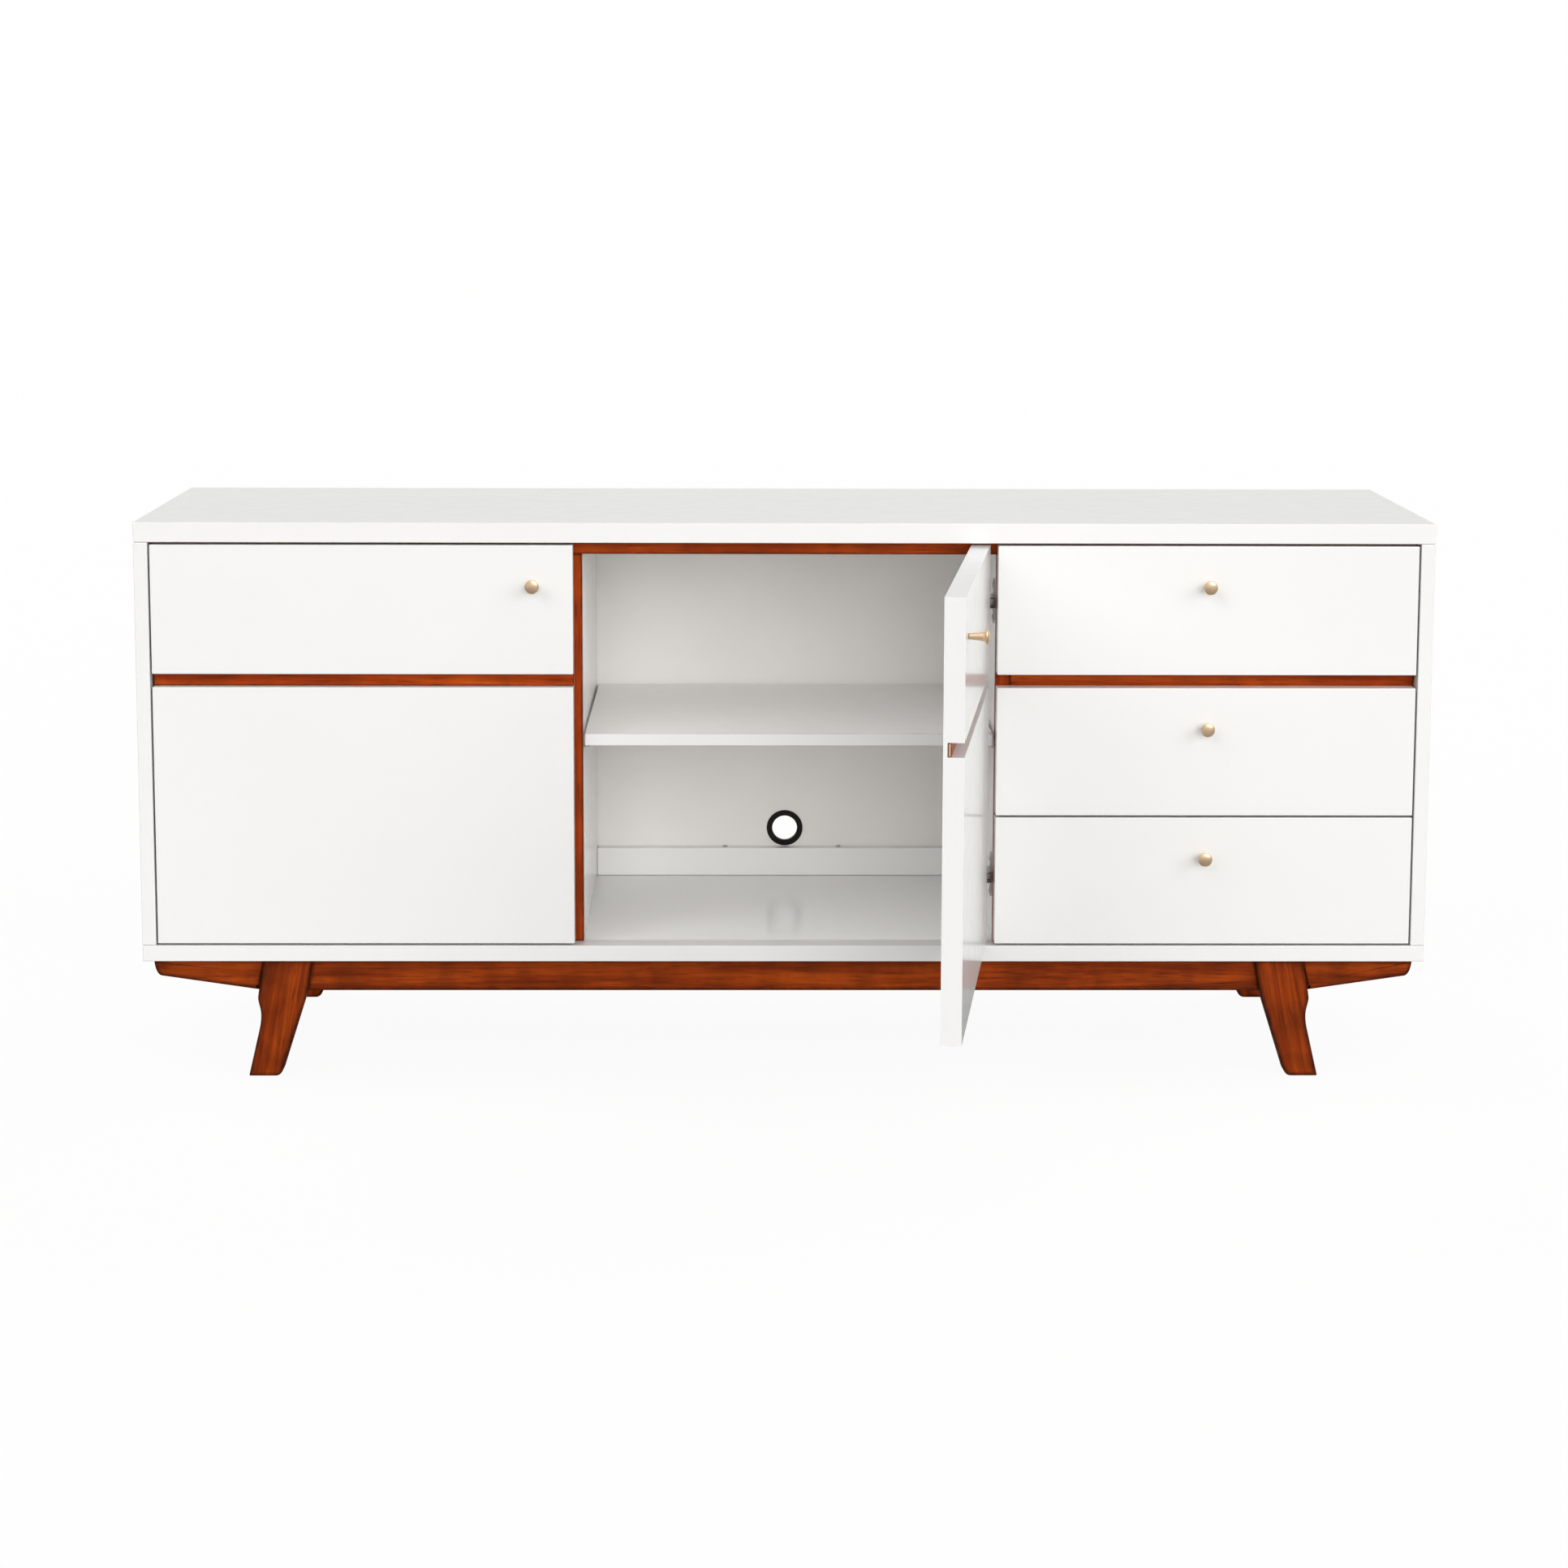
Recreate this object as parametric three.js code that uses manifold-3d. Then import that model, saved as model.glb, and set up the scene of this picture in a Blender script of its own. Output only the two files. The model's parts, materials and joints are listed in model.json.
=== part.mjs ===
// A low media console: a white lacquered case on a stained wood base, with two
// hinged doors and three drawers. Millimetres, +X right, +Y to the rear, +Z up.
// Inside this file y = 0 is the case's front plane and z = 0 is the floor.
import * as THREE from 'three';
import { mergeVertices } from 'three/addons/utils/BufferGeometryUtils.js';
import Module from 'manifold-3d';

const wasm = await Module();
wasm.setup();

// ---------- driving dimensions ----------
const CASE_WIDTH = 1625.6;
const CASE_DEPTH = 457.2;
const CASE_HEIGHT = 558.8;
const LEG_HEIGHT = 152.4;
const TOP_THICKNESS = 25;
const BOTTOM_THICKNESS = 20.5;
const SIDE_THICKNESS = 17.5;
const DIVIDER_THICKNESS = 18;
const BACK_THICKNESS = 5;
const BACK_INSET = 1.2;
const JOINT_GAP = 0.3;

// fronts: one door, one door and a stack of three drawers, all the same width
const FRONT_THICKNESS = 24;
const FRONT_GAP = 2.3;
const FRONT_GAP_TOP = 3;
const FRONT_GAP_BOTTOM = 2.7;
const RAIL_REVEAL = 16.5;
const DRAWER_GAP = 2.6;

// stained wood rails and lippings set back behind the fronts
const FRONT_TO_FRAME = 3.2;
const FRAME_DEPTH = 18;
const TOP_RAIL_HEIGHT = 16.8;
const DRAWER_RAIL_LAP = 4;

// door groove with its inlaid strip
const GROOVE_WEB = 5;
const INLAY_THICKNESS = 4.3;

// knobs
const KNOB_LENGTH = 24;
const KNOB_STEM_RADIUS = 3.4;
const KNOB_NECK_RADIUS = 5.3;
const KNOB_HEAD_RADIUS = 8.8;
const KNOB_FROM_TOP = 50;
const KNOB_FROM_EDGE = 50;
const KNOB_SIDES = 24;

// concealed cup hinges
const PIVOT_FROM_EDGE = 11;
const PIVOT_DEPTH = 3;
const HINGE_FROM_END = 77;
const CUP_RADIUS = 17.2;
const CUP_DEPTH = 11.5;
const CUP_WALL = 1.2;
const CUP_EDGE_WALL = 5;
const CUP_CLEARANCE = 0.3;
const CUP_EAR = 10.8;
const CUP_FLANGE_WIDTH = 24;
const CUP_FLANGE_THICKNESS = 1.2;
const CUP_SIDES = 32;
const ARM_WIDTH = 13;
const ARM_RISE = 11;
const ARM_TIP_REACH = 26;
const ARM_LENGTH = 56;
const ARM_DOOR_CLEARANCE = 5;
const PLATE_HEIGHT = 58;
const PLATE_WIDTH = 16;
const PLATE_THICKNESS = 1.6;
const CENTER_DOOR_OPEN_DEG = 83;

// drawers
const DRAWER_REAR_SPACE = 27;
const DRAWER_BOX_RISE = 12;
const DRAWER_BOX_DROP = 30.8;
const DRAWER_WALL = 12;
const DRAWER_BOTTOM_THICKNESS = 5;
const SLIDE_THICKNESS = 12.4;
const SLIDE_HEIGHT = 45;
const SLIDE_SHEET = 1.4;

// centre bay fittings
const SHELF_DROP = 271;
const SHELF_THICKNESS = 15;
const SHELF_SETBACK = 28;
const SHELF_SIDE_GAP = 2.5;
const REAR_RAIL_HEIGHT = 38.4;
const REAR_RAIL_DEPTH = 18;
const GROMMET_ABOVE_RAIL = 0.5;
const GROMMET_BORE_RADIUS = 18;
const GROMMET_WALL = 4;
const GROMMET_LIP = 3;
const GROMMET_FLANGE_THICKNESS = 2;
const GROMMET_TAIL = 1;
const GROMMET_SIDES = 32;

// base
const BEAM_HEIGHT = 42.5;
const BEAM_DEPTH = 26;
const BEAM_END_INSET = 10.5;
const BEAM_TIP_HEIGHT = 23;
const BEAM_TIP_ROUND = 9;
const LEG_THICKNESS = 25;
const LEG_FRONT_INSET = 12;
const LEG_REAR_INSET = 4;
const LEG_BEAM_STEP = 8;
const LEG_FROM_SIDE = 151.5;
const LEG_TOP_WIDTH = 61.3;
const LEG_FOOT_WIDTH = 41.5;
const LEG_FOOT_ROUND = 8;
const LEG_FOOT_OUT = 21.7;
const LEG_HIP_OUT = 8.6;
const LEG_HIP_DROP = 50.4;
const LEG_WAIST_OUT = 5;
const LEG_WAIST_DROP = 72.4;
const LEG_KNEE_IN = 7;
const CROSS_RAIL_HEIGHT = 38;
const CROSS_RAIL_THICKNESS = 22;
const CROSS_RAIL_FROM_SIDE = 190;

// ---------- places worked out from them ----------
const caseBottom = LEG_HEIGHT;
const caseTop = LEG_HEIGHT + CASE_HEIGHT;
const halfWidth = CASE_WIDTH / 2;
const innerHalf = halfWidth - SIDE_THICKNESS;
const underTop = caseTop - TOP_THICKNESS;
const onBottom = caseBottom + BOTTOM_THICKNESS;
const backRear = CASE_DEPTH - BACK_INSET;
const backFront = backRear - BACK_THICKNESS;
const frameFront = FRONT_THICKNESS + FRONT_TO_FRAME;
const frameRear = frameFront + FRAME_DEPTH;

const frontWidth = (2 * innerHalf - 4 * FRONT_GAP) / 3;
const leftDoorX = [-innerHalf + FRONT_GAP, -innerHalf + FRONT_GAP + frontWidth];
const centerDoorX = [-frontWidth / 2, frontWidth / 2];
const drawerX = [innerHalf - FRONT_GAP - frontWidth, innerHalf - FRONT_GAP];
const frontTop = underTop - FRONT_GAP_TOP;
const frontBottom = onBottom + FRONT_GAP_BOTTOM;
const drawerHeight = (frontTop - frontBottom - RAIL_REVEAL - DRAWER_GAP) / 3;
const grooveTop = frontTop - drawerHeight;
const grooveBottom = grooveTop - RAIL_REVEAL;
const drawerTops = [frontTop, grooveBottom, grooveBottom - drawerHeight - DRAWER_GAP];

// the left divider is centred behind the gap between the doors; the right one
// stands level with the drawer fronts' edge, so the centre door closes beside it
const leftDividerCenter = (leftDoorX[1] + centerDoorX[0]) / 2;
const leftDividerX = [leftDividerCenter - DIVIDER_THICKNESS / 2, leftDividerCenter + DIVIDER_THICKNESS / 2];
const rightDividerX = [drawerX[0], drawerX[0] + DIVIDER_THICKNESS];
const topRailBottom = underTop - TOP_RAIL_HEIGHT;
const drawerRailZ = [grooveBottom - DRAWER_RAIL_LAP, grooveTop + DRAWER_RAIL_LAP];
const grommetBodyRadius = GROMMET_BORE_RADIUS + GROMMET_WALL;
const grommetFlangeRadius = grommetBodyRadius + GROMMET_LIP;
const grooveDepth = FRONT_THICKNESS - GROOVE_WEB;
const hingeHeights = { lower: frontBottom + HINGE_FROM_END, upper: frontTop - HINGE_FROM_END };

// ---------- finishes ----------
function finish(color, roughness, metalness = 0) {
  return new THREE.MeshStandardMaterial({ color, roughness, metalness });
}
const lacquer = finish(0xf5f6f4, 0.35);
const stainedWood = finish(0x96401a, 0.45);
const paleBoard = finish(0xefece6, 0.6);
const champagne = finish(0xc8aa7d, 0.3, 1);
const nickel = finish(0xb9b9b6, 0.3, 1);
const zincSteel = finish(0xa9abac, 0.35, 1);
const blackPlastic = finish(0x1e1b16, 0.5);

// ---------- making and joining solids ----------
function place(parent, name, geometry, material, x = 0, y = 0, z = 0) {
  const mesh = new THREE.Mesh(geometry, material);
  mesh.name = name;
  mesh.position.set(x, y, z);
  parent.add(mesh);
  return mesh;
}

function boxGeometry([x0, x1], [y0, y1], [z0, z1]) {
  const geometry = new THREE.BoxGeometry(x1 - x0, y1 - y0, z1 - z0);
  return geometry.translate((x0 + x1) / 2, (y0 + y1) / 2, (z0 + z1) / 2);
}

function board(parent, name, material, [x0, x1], [y0, y1], [z0, z1]) {
  const geometry = new THREE.BoxGeometry(x1 - x0, y1 - y0, z1 - z0);
  return place(parent, name, geometry, material, (x0 + x1) / 2, (y0 + y1) / 2, (z0 + z1) / 2);
}

function toSolid(geometry) {
  const bare = geometry.clone();
  bare.deleteAttribute('normal');
  bare.deleteAttribute('uv');
  const merged = mergeVertices(bare, 1e-4);
  return new wasm.Manifold(new wasm.Mesh({
    numProp: 3,
    vertProperties: new Float32Array(merged.attributes.position.array),
    triVerts: new Uint32Array(merged.index.array),
  }));
}

function fromSolid(solid) {
  const mesh = solid.getMesh();
  const geometry = new THREE.BufferGeometry();
  geometry.setAttribute('position', new THREE.BufferAttribute(mesh.vertProperties, 3));
  geometry.setIndex(new THREE.BufferAttribute(mesh.triVerts, 1));
  geometry.computeVertexNormals();
  return geometry;
}

function cut(geometry, ...tools) {
  return fromSolid(tools.reduce((solid, tool) => solid.subtract(toSolid(tool)), toSolid(geometry)));
}

function join(geometry, ...others) {
  return fromSolid(others.reduce((solid, other) => solid.add(toSolid(other)), toSolid(geometry)));
}

// a profile of [radius, height] points turned round the y axis, rising to the front (-y)
function turned(profile, sides) {
  const points = profile.map(([radius, height]) => new THREE.Vector2(radius, height));
  return new THREE.LatheGeometry(points, sides).rotateX(Math.PI);
}

// an outline in x and z, extruded to the rear from y = 0
function extrudedToRear(outline, depth, curveSegments = 6) {
  const shape = Array.isArray(outline)
    ? new THREE.Shape(outline.map(([x, z]) => new THREE.Vector2(x, z)))
    : outline;
  const geometry = new THREE.ExtrudeGeometry(shape, { depth, bevelEnabled: false, curveSegments });
  return geometry.rotateX(Math.PI / 2).translate(0, depth, 0);
}

// an outline in x and y, extruded upwards and centred on z = 0
function extrudedUp(outline, height) {
  const shape = new THREE.Shape(outline.map(([x, y]) => new THREE.Vector2(x, y)));
  const geometry = new THREE.ExtrudeGeometry(shape, { depth: height, bevelEnabled: false });
  return geometry.translate(0, 0, -height / 2);
}

// ---------- case ----------
function buildCase() {
  const group = new THREE.Group();
  const fullWidth = [-halfWidth, halfWidth];
  const fullDepth = [0, CASE_DEPTH];
  const innerWidth = [-innerHalf + JOINT_GAP, innerHalf - JOINT_GAP];
  const innerHeight = [onBottom + JOINT_GAP, underTop - JOINT_GAP];
  board(group, 'top_board', lacquer, fullWidth, fullDepth, [underTop, caseTop]);
  board(group, 'bottom_board', lacquer, fullWidth, fullDepth, [caseBottom, onBottom]);
  board(group, 'side_left', lacquer, [-halfWidth, -innerHalf], fullDepth, innerHeight);
  board(group, 'side_right', lacquer, [innerHalf, halfWidth], fullDepth, innerHeight);

  const frameDepth = [frameFront, frameRear];
  const dividerDepth = [frameRear + JOINT_GAP, backFront - JOINT_GAP];
  const lippingHeight = [onBottom + JOINT_GAP, topRailBottom - JOINT_GAP];
  for (const [side, dividerX] of [['left', leftDividerX], ['right', rightDividerX]]) {
    board(group, `divider_${side}`, lacquer, dividerX, dividerDepth, innerHeight);
    board(group, `divider_lipping_${side}`, stainedWood, dividerX, frameDepth, lippingHeight);
  }
  board(group, 'top_rail', stainedWood, innerWidth, frameDepth, [topRailBottom, underTop - JOINT_GAP]);
  board(group, 'drawer_rail', stainedWood,
    [rightDividerX[1] + JOINT_GAP, innerWidth[1]], frameDepth, drawerRailZ);

  addBackPanelAndGrommet(group, innerWidth, innerHeight);
  addCenterBayFittings(group);
  return group;
}

// a thin back panel, with a plastic grommet in its cable hole low in the centre bay
function addBackPanelAndGrommet(group, innerWidth, innerHeight) {
  const grommetX = (leftDividerX[1] + rightDividerX[0]) / 2;
  const grommetZ = onBottom + JOINT_GAP + REAR_RAIL_HEIGHT + GROMMET_ABOVE_RAIL + grommetFlangeRadius;
  const hole = new THREE.CylinderGeometry(
    grommetBodyRadius + JOINT_GAP, grommetBodyRadius + JOINT_GAP, 4 * BACK_THICKNESS, GROMMET_SIDES);
  hole.translate(grommetX, (backFront + backRear) / 2, grommetZ);
  const panel = boxGeometry(innerWidth, [backFront, backRear], innerHeight);
  place(group, 'back_panel', cut(panel, hole), paleBoard);

  const flangeHeight = BACK_THICKNESS + GROMMET_TAIL + JOINT_GAP + GROMMET_FLANGE_THICKNESS;
  const flangeBase = flangeHeight - GROMMET_FLANGE_THICKNESS;
  const ring = turned([
    [GROMMET_BORE_RADIUS, 0],
    [grommetBodyRadius, 0],
    [grommetBodyRadius, flangeBase],
    [grommetFlangeRadius, flangeBase],
    [grommetFlangeRadius - GROMMET_FLANGE_THICKNESS, flangeHeight],
    [GROMMET_BORE_RADIUS, flangeHeight],
    [GROMMET_BORE_RADIUS, 0],
  ], GROMMET_SIDES);
  place(group, 'cable_grommet', ring, blackPlastic, grommetX, backRear + GROMMET_TAIL, grommetZ);
}

// the loose shelf, and the rail screwed down along the back of the bay's floor
function addCenterBayFittings(group) {
  const shelfTop = caseTop - SHELF_DROP;
  board(group, 'shelf', lacquer,
    [leftDividerX[1] + SHELF_SIDE_GAP, rightDividerX[0] - SHELF_SIDE_GAP],
    [SHELF_SETBACK, backFront - SHELF_SIDE_GAP],
    [shelfTop - SHELF_THICKNESS, shelfTop]);
  board(group, 'rear_rail', lacquer,
    [leftDividerX[1] + JOINT_GAP, rightDividerX[0] - JOINT_GAP],
    [backFront - JOINT_GAP - REAR_RAIL_DEPTH, backFront - JOINT_GAP],
    [onBottom + JOINT_GAP, onBottom + JOINT_GAP + REAR_RAIL_HEIGHT]);
}

// ---------- knobs ----------
// a tapered stem that flares into a mushroom head, standing off a front's face
function addKnob(group, name, x, z) {
  const flareStart = KNOB_LENGTH * 0.64;
  const rimHeight = KNOB_LENGTH * 0.82;
  const profile = [
    [0, 0],
    [KNOB_STEM_RADIUS, 0],
    [KNOB_NECK_RADIUS, flareStart],
    [KNOB_HEAD_RADIUS - 1.3, rimHeight - 2],
    [KNOB_HEAD_RADIUS, rimHeight],
    [KNOB_HEAD_RADIUS * 0.9, KNOB_LENGTH - 2.2],
    [KNOB_HEAD_RADIUS * 0.6, KNOB_LENGTH - 0.7],
    [0, KNOB_LENGTH],
  ];
  place(group, name, turned(profile, KNOB_SIDES), champagne, x, -JOINT_GAP, z);
}

// ---------- doors ----------
// Each door group stands at its pivot, and its pieces are drawn as if it were shut.
// hingeSide is +1 for a door hung on its right edge and -1 for one hung on its left.
function buildDoor(name, doorX, hingeSide) {
  const group = new THREE.Group();
  const pivotX = hingeSide > 0 ? doorX[1] - PIVOT_FROM_EDGE : doorX[0] + PIVOT_FROM_EDGE;
  group.position.set(pivotX, PIVOT_DEPTH, 0);
  const shut = new THREE.Group();
  shut.position.set(-pivotX, -PIVOT_DEPTH, 0);
  group.add(shut);

  const hingeEdge = hingeSide > 0 ? doorX[1] : doorX[0];
  const freeEdge = hingeSide > 0 ? doorX[0] : doorX[1];
  const cupX = hingeEdge - hingeSide * (CUP_EDGE_WALL + CUP_CLEARANCE + CUP_RADIUS);
  const tools = [boxGeometry([doorX[0] - 1, doorX[1] + 1], [-1, grooveDepth], [grooveBottom, grooveTop])];
  for (const z of Object.values(hingeHeights)) {
    const bore = new THREE.CylinderGeometry(
      CUP_RADIUS + CUP_CLEARANCE, CUP_RADIUS + CUP_CLEARANCE, 2 * (CUP_DEPTH + CUP_CLEARANCE), CUP_SIDES);
    tools.push(bore.translate(cupX, FRONT_THICKNESS, z));
  }
  const slab = boxGeometry(doorX, [0, FRONT_THICKNESS], [frontBottom, frontTop]);
  place(shut, `door_${name}`, cut(slab, ...tools), lacquer);
  board(shut, `inlay_${name}`, stainedWood, doorX,
    [grooveDepth - JOINT_GAP - INLAY_THICKNESS, grooveDepth - JOINT_GAP],
    [grooveBottom + JOINT_GAP, grooveTop - JOINT_GAP]);
  for (const [level, z] of Object.entries(hingeHeights)) {
    place(shut, `hinge_cup_${name}_${level}`, cupGeometry(), nickel, cupX, FRONT_THICKNESS, z);
  }
  addKnob(shut, `knob_${name}`, freeEdge + hingeSide * KNOB_FROM_EDGE, frontTop - KNOB_FROM_TOP);
  return group;
}

// a round cup let into the door's back, with a flange that lies on the back
function cupGeometry() {
  const flangeTop = CUP_CLEARANCE + CUP_FLANGE_THICKNESS;
  const cup = turned([
    [0, -CUP_DEPTH],
    [CUP_RADIUS, -CUP_DEPTH],
    [CUP_RADIUS, flangeTop],
    [CUP_RADIUS - CUP_WALL, flangeTop],
    [CUP_RADIUS - CUP_WALL, -CUP_DEPTH + CUP_WALL],
    [0, -CUP_DEPTH + CUP_WALL],
  ], CUP_SIDES).rotateX(Math.PI);
  const flange = boxGeometry(
    [-CUP_FLANGE_WIDTH / 2, CUP_FLANGE_WIDTH / 2],
    [CUP_CLEARANCE, flangeTop],
    [-CUP_RADIUS - CUP_EAR, CUP_RADIUS + CUP_EAR]);
  const mouth = new THREE.CylinderGeometry(
    CUP_RADIUS - CUP_WALL, CUP_RADIUS - CUP_WALL, 4 * flangeTop, CUP_SIDES);
  return join(cup, cut(flange, mouth));
}

// ---------- hinge arms ----------
// A cranked arm on a winged plate, screwed to the upright that carries the door.
// faceX is the upright's face, and away is the direction in x from it into the bay.
function addHingeArm(group, name, faceX, away, z) {
  const tipFront = FRONT_THICKNESS + ARM_DOOR_CLEARANCE;
  const armRear = tipFront + ARM_LENGTH;
  const outline = [
    [JOINT_GAP, armRear],
    [JOINT_GAP, tipFront + 13],
    [ARM_RISE - 2, tipFront + 8],
    [ARM_TIP_REACH - 10, tipFront + 4.5],
    [ARM_TIP_REACH - 7, tipFront],
    [ARM_TIP_REACH, tipFront],
    [ARM_TIP_REACH, tipFront + 6],
    [ARM_RISE, tipFront + 15],
    [ARM_RISE, armRear - 3],
    [ARM_RISE - 3, armRear],
  ].map(([reach, y]) => [away * reach, y]);
  const arm = extrudedUp(away > 0 ? outline : outline.reverse(), ARM_WIDTH);
  const plateMiddle = (tipFront + 15 + armRear) / 2;
  const plateX = [away * JOINT_GAP, away * (JOINT_GAP + PLATE_THICKNESS)].sort((a, b) => a - b);
  const plate = boxGeometry(plateX,
    [plateMiddle - PLATE_WIDTH / 2, plateMiddle + PLATE_WIDTH / 2],
    [-PLATE_HEIGHT / 2, PLATE_HEIGHT / 2]);
  place(group, name, join(arm, plate), nickel, faceX, 0, z);
}

function addHingeArms(group, door, faceX, away) {
  for (const [level, z] of Object.entries(hingeHeights)) {
    addHingeArm(group, `hinge_arm_${door}_${level}`, faceX, away, z);
  }
}

// ---------- drawers ----------
const drawerBoxY = [FRONT_THICKNESS + JOINT_GAP, backFront - DRAWER_REAR_SPACE];
const drawerBoxX = [rightDividerX[1] + SLIDE_THICKNESS + 2 * JOINT_GAP,
  innerHalf - SLIDE_THICKNESS - 2 * JOINT_GAP];

function buildDrawer(number, top) {
  const group = new THREE.Group();
  const bottom = top - drawerHeight;
  const boxBottom = bottom + DRAWER_BOX_RISE;
  const wallBottom = boxBottom + DRAWER_BOTTOM_THICKNESS + JOINT_GAP;
  const boxTop = top - DRAWER_BOX_DROP;
  const name = `drawer_${number}`;
  board(group, `${name}_front`, lacquer, drawerX, [0, FRONT_THICKNESS], [bottom, top]);
  board(group, `${name}_side_left`, paleBoard,
    [drawerBoxX[0], drawerBoxX[0] + DRAWER_WALL], drawerBoxY, [wallBottom, boxTop]);
  board(group, `${name}_side_right`, paleBoard,
    [drawerBoxX[1] - DRAWER_WALL, drawerBoxX[1]], drawerBoxY, [wallBottom, boxTop]);
  board(group, `${name}_back`, paleBoard,
    [drawerBoxX[0] + DRAWER_WALL + JOINT_GAP, drawerBoxX[1] - DRAWER_WALL - JOINT_GAP],
    [drawerBoxY[1] - DRAWER_WALL, drawerBoxY[1]], [wallBottom, boxTop]);
  board(group, `${name}_bottom`, paleBoard,
    drawerBoxX, drawerBoxY, [boxBottom, boxBottom + DRAWER_BOTTOM_THICKNESS]);
  addKnob(group, `knob_drawer_${number}`, (drawerX[0] + drawerX[1]) / 2, top - KNOB_FROM_TOP);
  return group;
}

// the fixed channel of each side slide, open towards the drawer
function addSlides(group, number, top) {
  const middle = top - (drawerHeight - DRAWER_BOX_RISE + DRAWER_BOX_DROP) / 2;
  const half = SLIDE_HEIGHT / 2;
  const channel = [
    [0, -half], [SLIDE_THICKNESS, -half], [SLIDE_THICKNESS, -half + SLIDE_SHEET],
    [SLIDE_SHEET, -half + SLIDE_SHEET], [SLIDE_SHEET, half - SLIDE_SHEET],
    [SLIDE_THICKNESS, half - SLIDE_SHEET], [SLIDE_THICKNESS, half], [0, half],
  ];
  const start = frameRear + JOINT_GAP;
  const length = drawerBoxY[1] - start;
  const mirrored = channel.map(([x, z]) => [-x, z]).reverse();
  place(group, `slide_${number}_left`, extrudedToRear(channel, length), zincSteel,
    rightDividerX[1] + JOINT_GAP, start, middle);
  place(group, `slide_${number}_right`, extrudedToRear(mirrored, length), zincSteel,
    innerHalf - JOINT_GAP, start, middle);
}

// ---------- base ----------
// The leg's outline from the front, for side +1 (right) or -1 (left): a straight
// top, a hip that swells past it, a waist below the hip and a splayed foot.
// grow widens it to both sides, which cuts its housing in the beam.
function legOutline(side, grow = 0) {
  const top = LEG_HEIGHT - JOINT_GAP + grow;
  const outer = halfWidth - LEG_FROM_SIDE;
  const inner = outer - LEG_TOP_WIDTH;
  const footOuter = outer + LEG_FOOT_OUT;
  const footInner = footOuter - LEG_FOOT_WIDTH;
  const kneeHeight = LEG_HEIGHT - BEAM_HEIGHT;
  const hip = LEG_HEIGHT - LEG_HIP_DROP;
  const waist = LEG_HEIGHT - LEG_WAIST_DROP;
  const x = (value) => side * value;
  const shape = new THREE.Shape();
  shape.moveTo(x(outer + grow), top);
  shape.lineTo(x(outer + 2 + grow), hip + 36);
  shape.quadraticCurveTo(x(outer + LEG_HIP_OUT - 2 + grow), hip + 16,
    x(outer + LEG_HIP_OUT + grow), hip);
  shape.bezierCurveTo(x(outer + LEG_HIP_OUT + grow), hip - 7,
    x(outer + LEG_WAIST_OUT + grow), waist + 9,
    x(outer + LEG_WAIST_OUT + grow), waist);
  shape.quadraticCurveTo(x(outer + LEG_WAIST_OUT + grow), waist - 10,
    x(outer + LEG_WAIST_OUT + 2.6 + grow), waist - 20);
  shape.lineTo(x(footOuter + grow), 0);
  shape.lineTo(x(footInner + LEG_FOOT_ROUND - grow), 0);
  shape.quadraticCurveTo(x(footInner + 1 - grow), 0,
    x(footInner - 2 - grow), LEG_FOOT_ROUND);
  shape.lineTo(x(inner + LEG_KNEE_IN - grow), kneeHeight);
  shape.lineTo(x(inner - grow), top);
  return shape;
}

// a long beam with tapered, round-nosed ends, housed to half its depth for two legs
function beamGeometry(beamY, housingY) {
  const end = halfWidth - BEAM_END_INSET;
  const top = LEG_HEIGHT - JOINT_GAP;
  const bottom = LEG_HEIGHT - BEAM_HEIGHT;
  const tipBottom = top - BEAM_TIP_HEIGHT;
  const taperFrom = halfWidth - LEG_FROM_SIDE;
  const outline = new THREE.Shape();
  outline.moveTo(-end, top);
  outline.quadraticCurveTo(-end + 1, tipBottom + 3, -end + BEAM_TIP_ROUND, tipBottom);
  outline.lineTo(-taperFrom, bottom);
  outline.lineTo(taperFrom, bottom);
  outline.lineTo(end - BEAM_TIP_ROUND, tipBottom);
  outline.quadraticCurveTo(end - 1, tipBottom + 3, end, top);
  const beam = extrudedToRear(outline, beamY[1] - beamY[0]).translate(0, beamY[0], 0);
  const housings = [-1, 1].map((side) => extrudedToRear(legOutline(side, JOINT_GAP), housingY[1] - housingY[0])
    .translate(0, housingY[0], 0));
  return cut(beam, ...housings);
}

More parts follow.
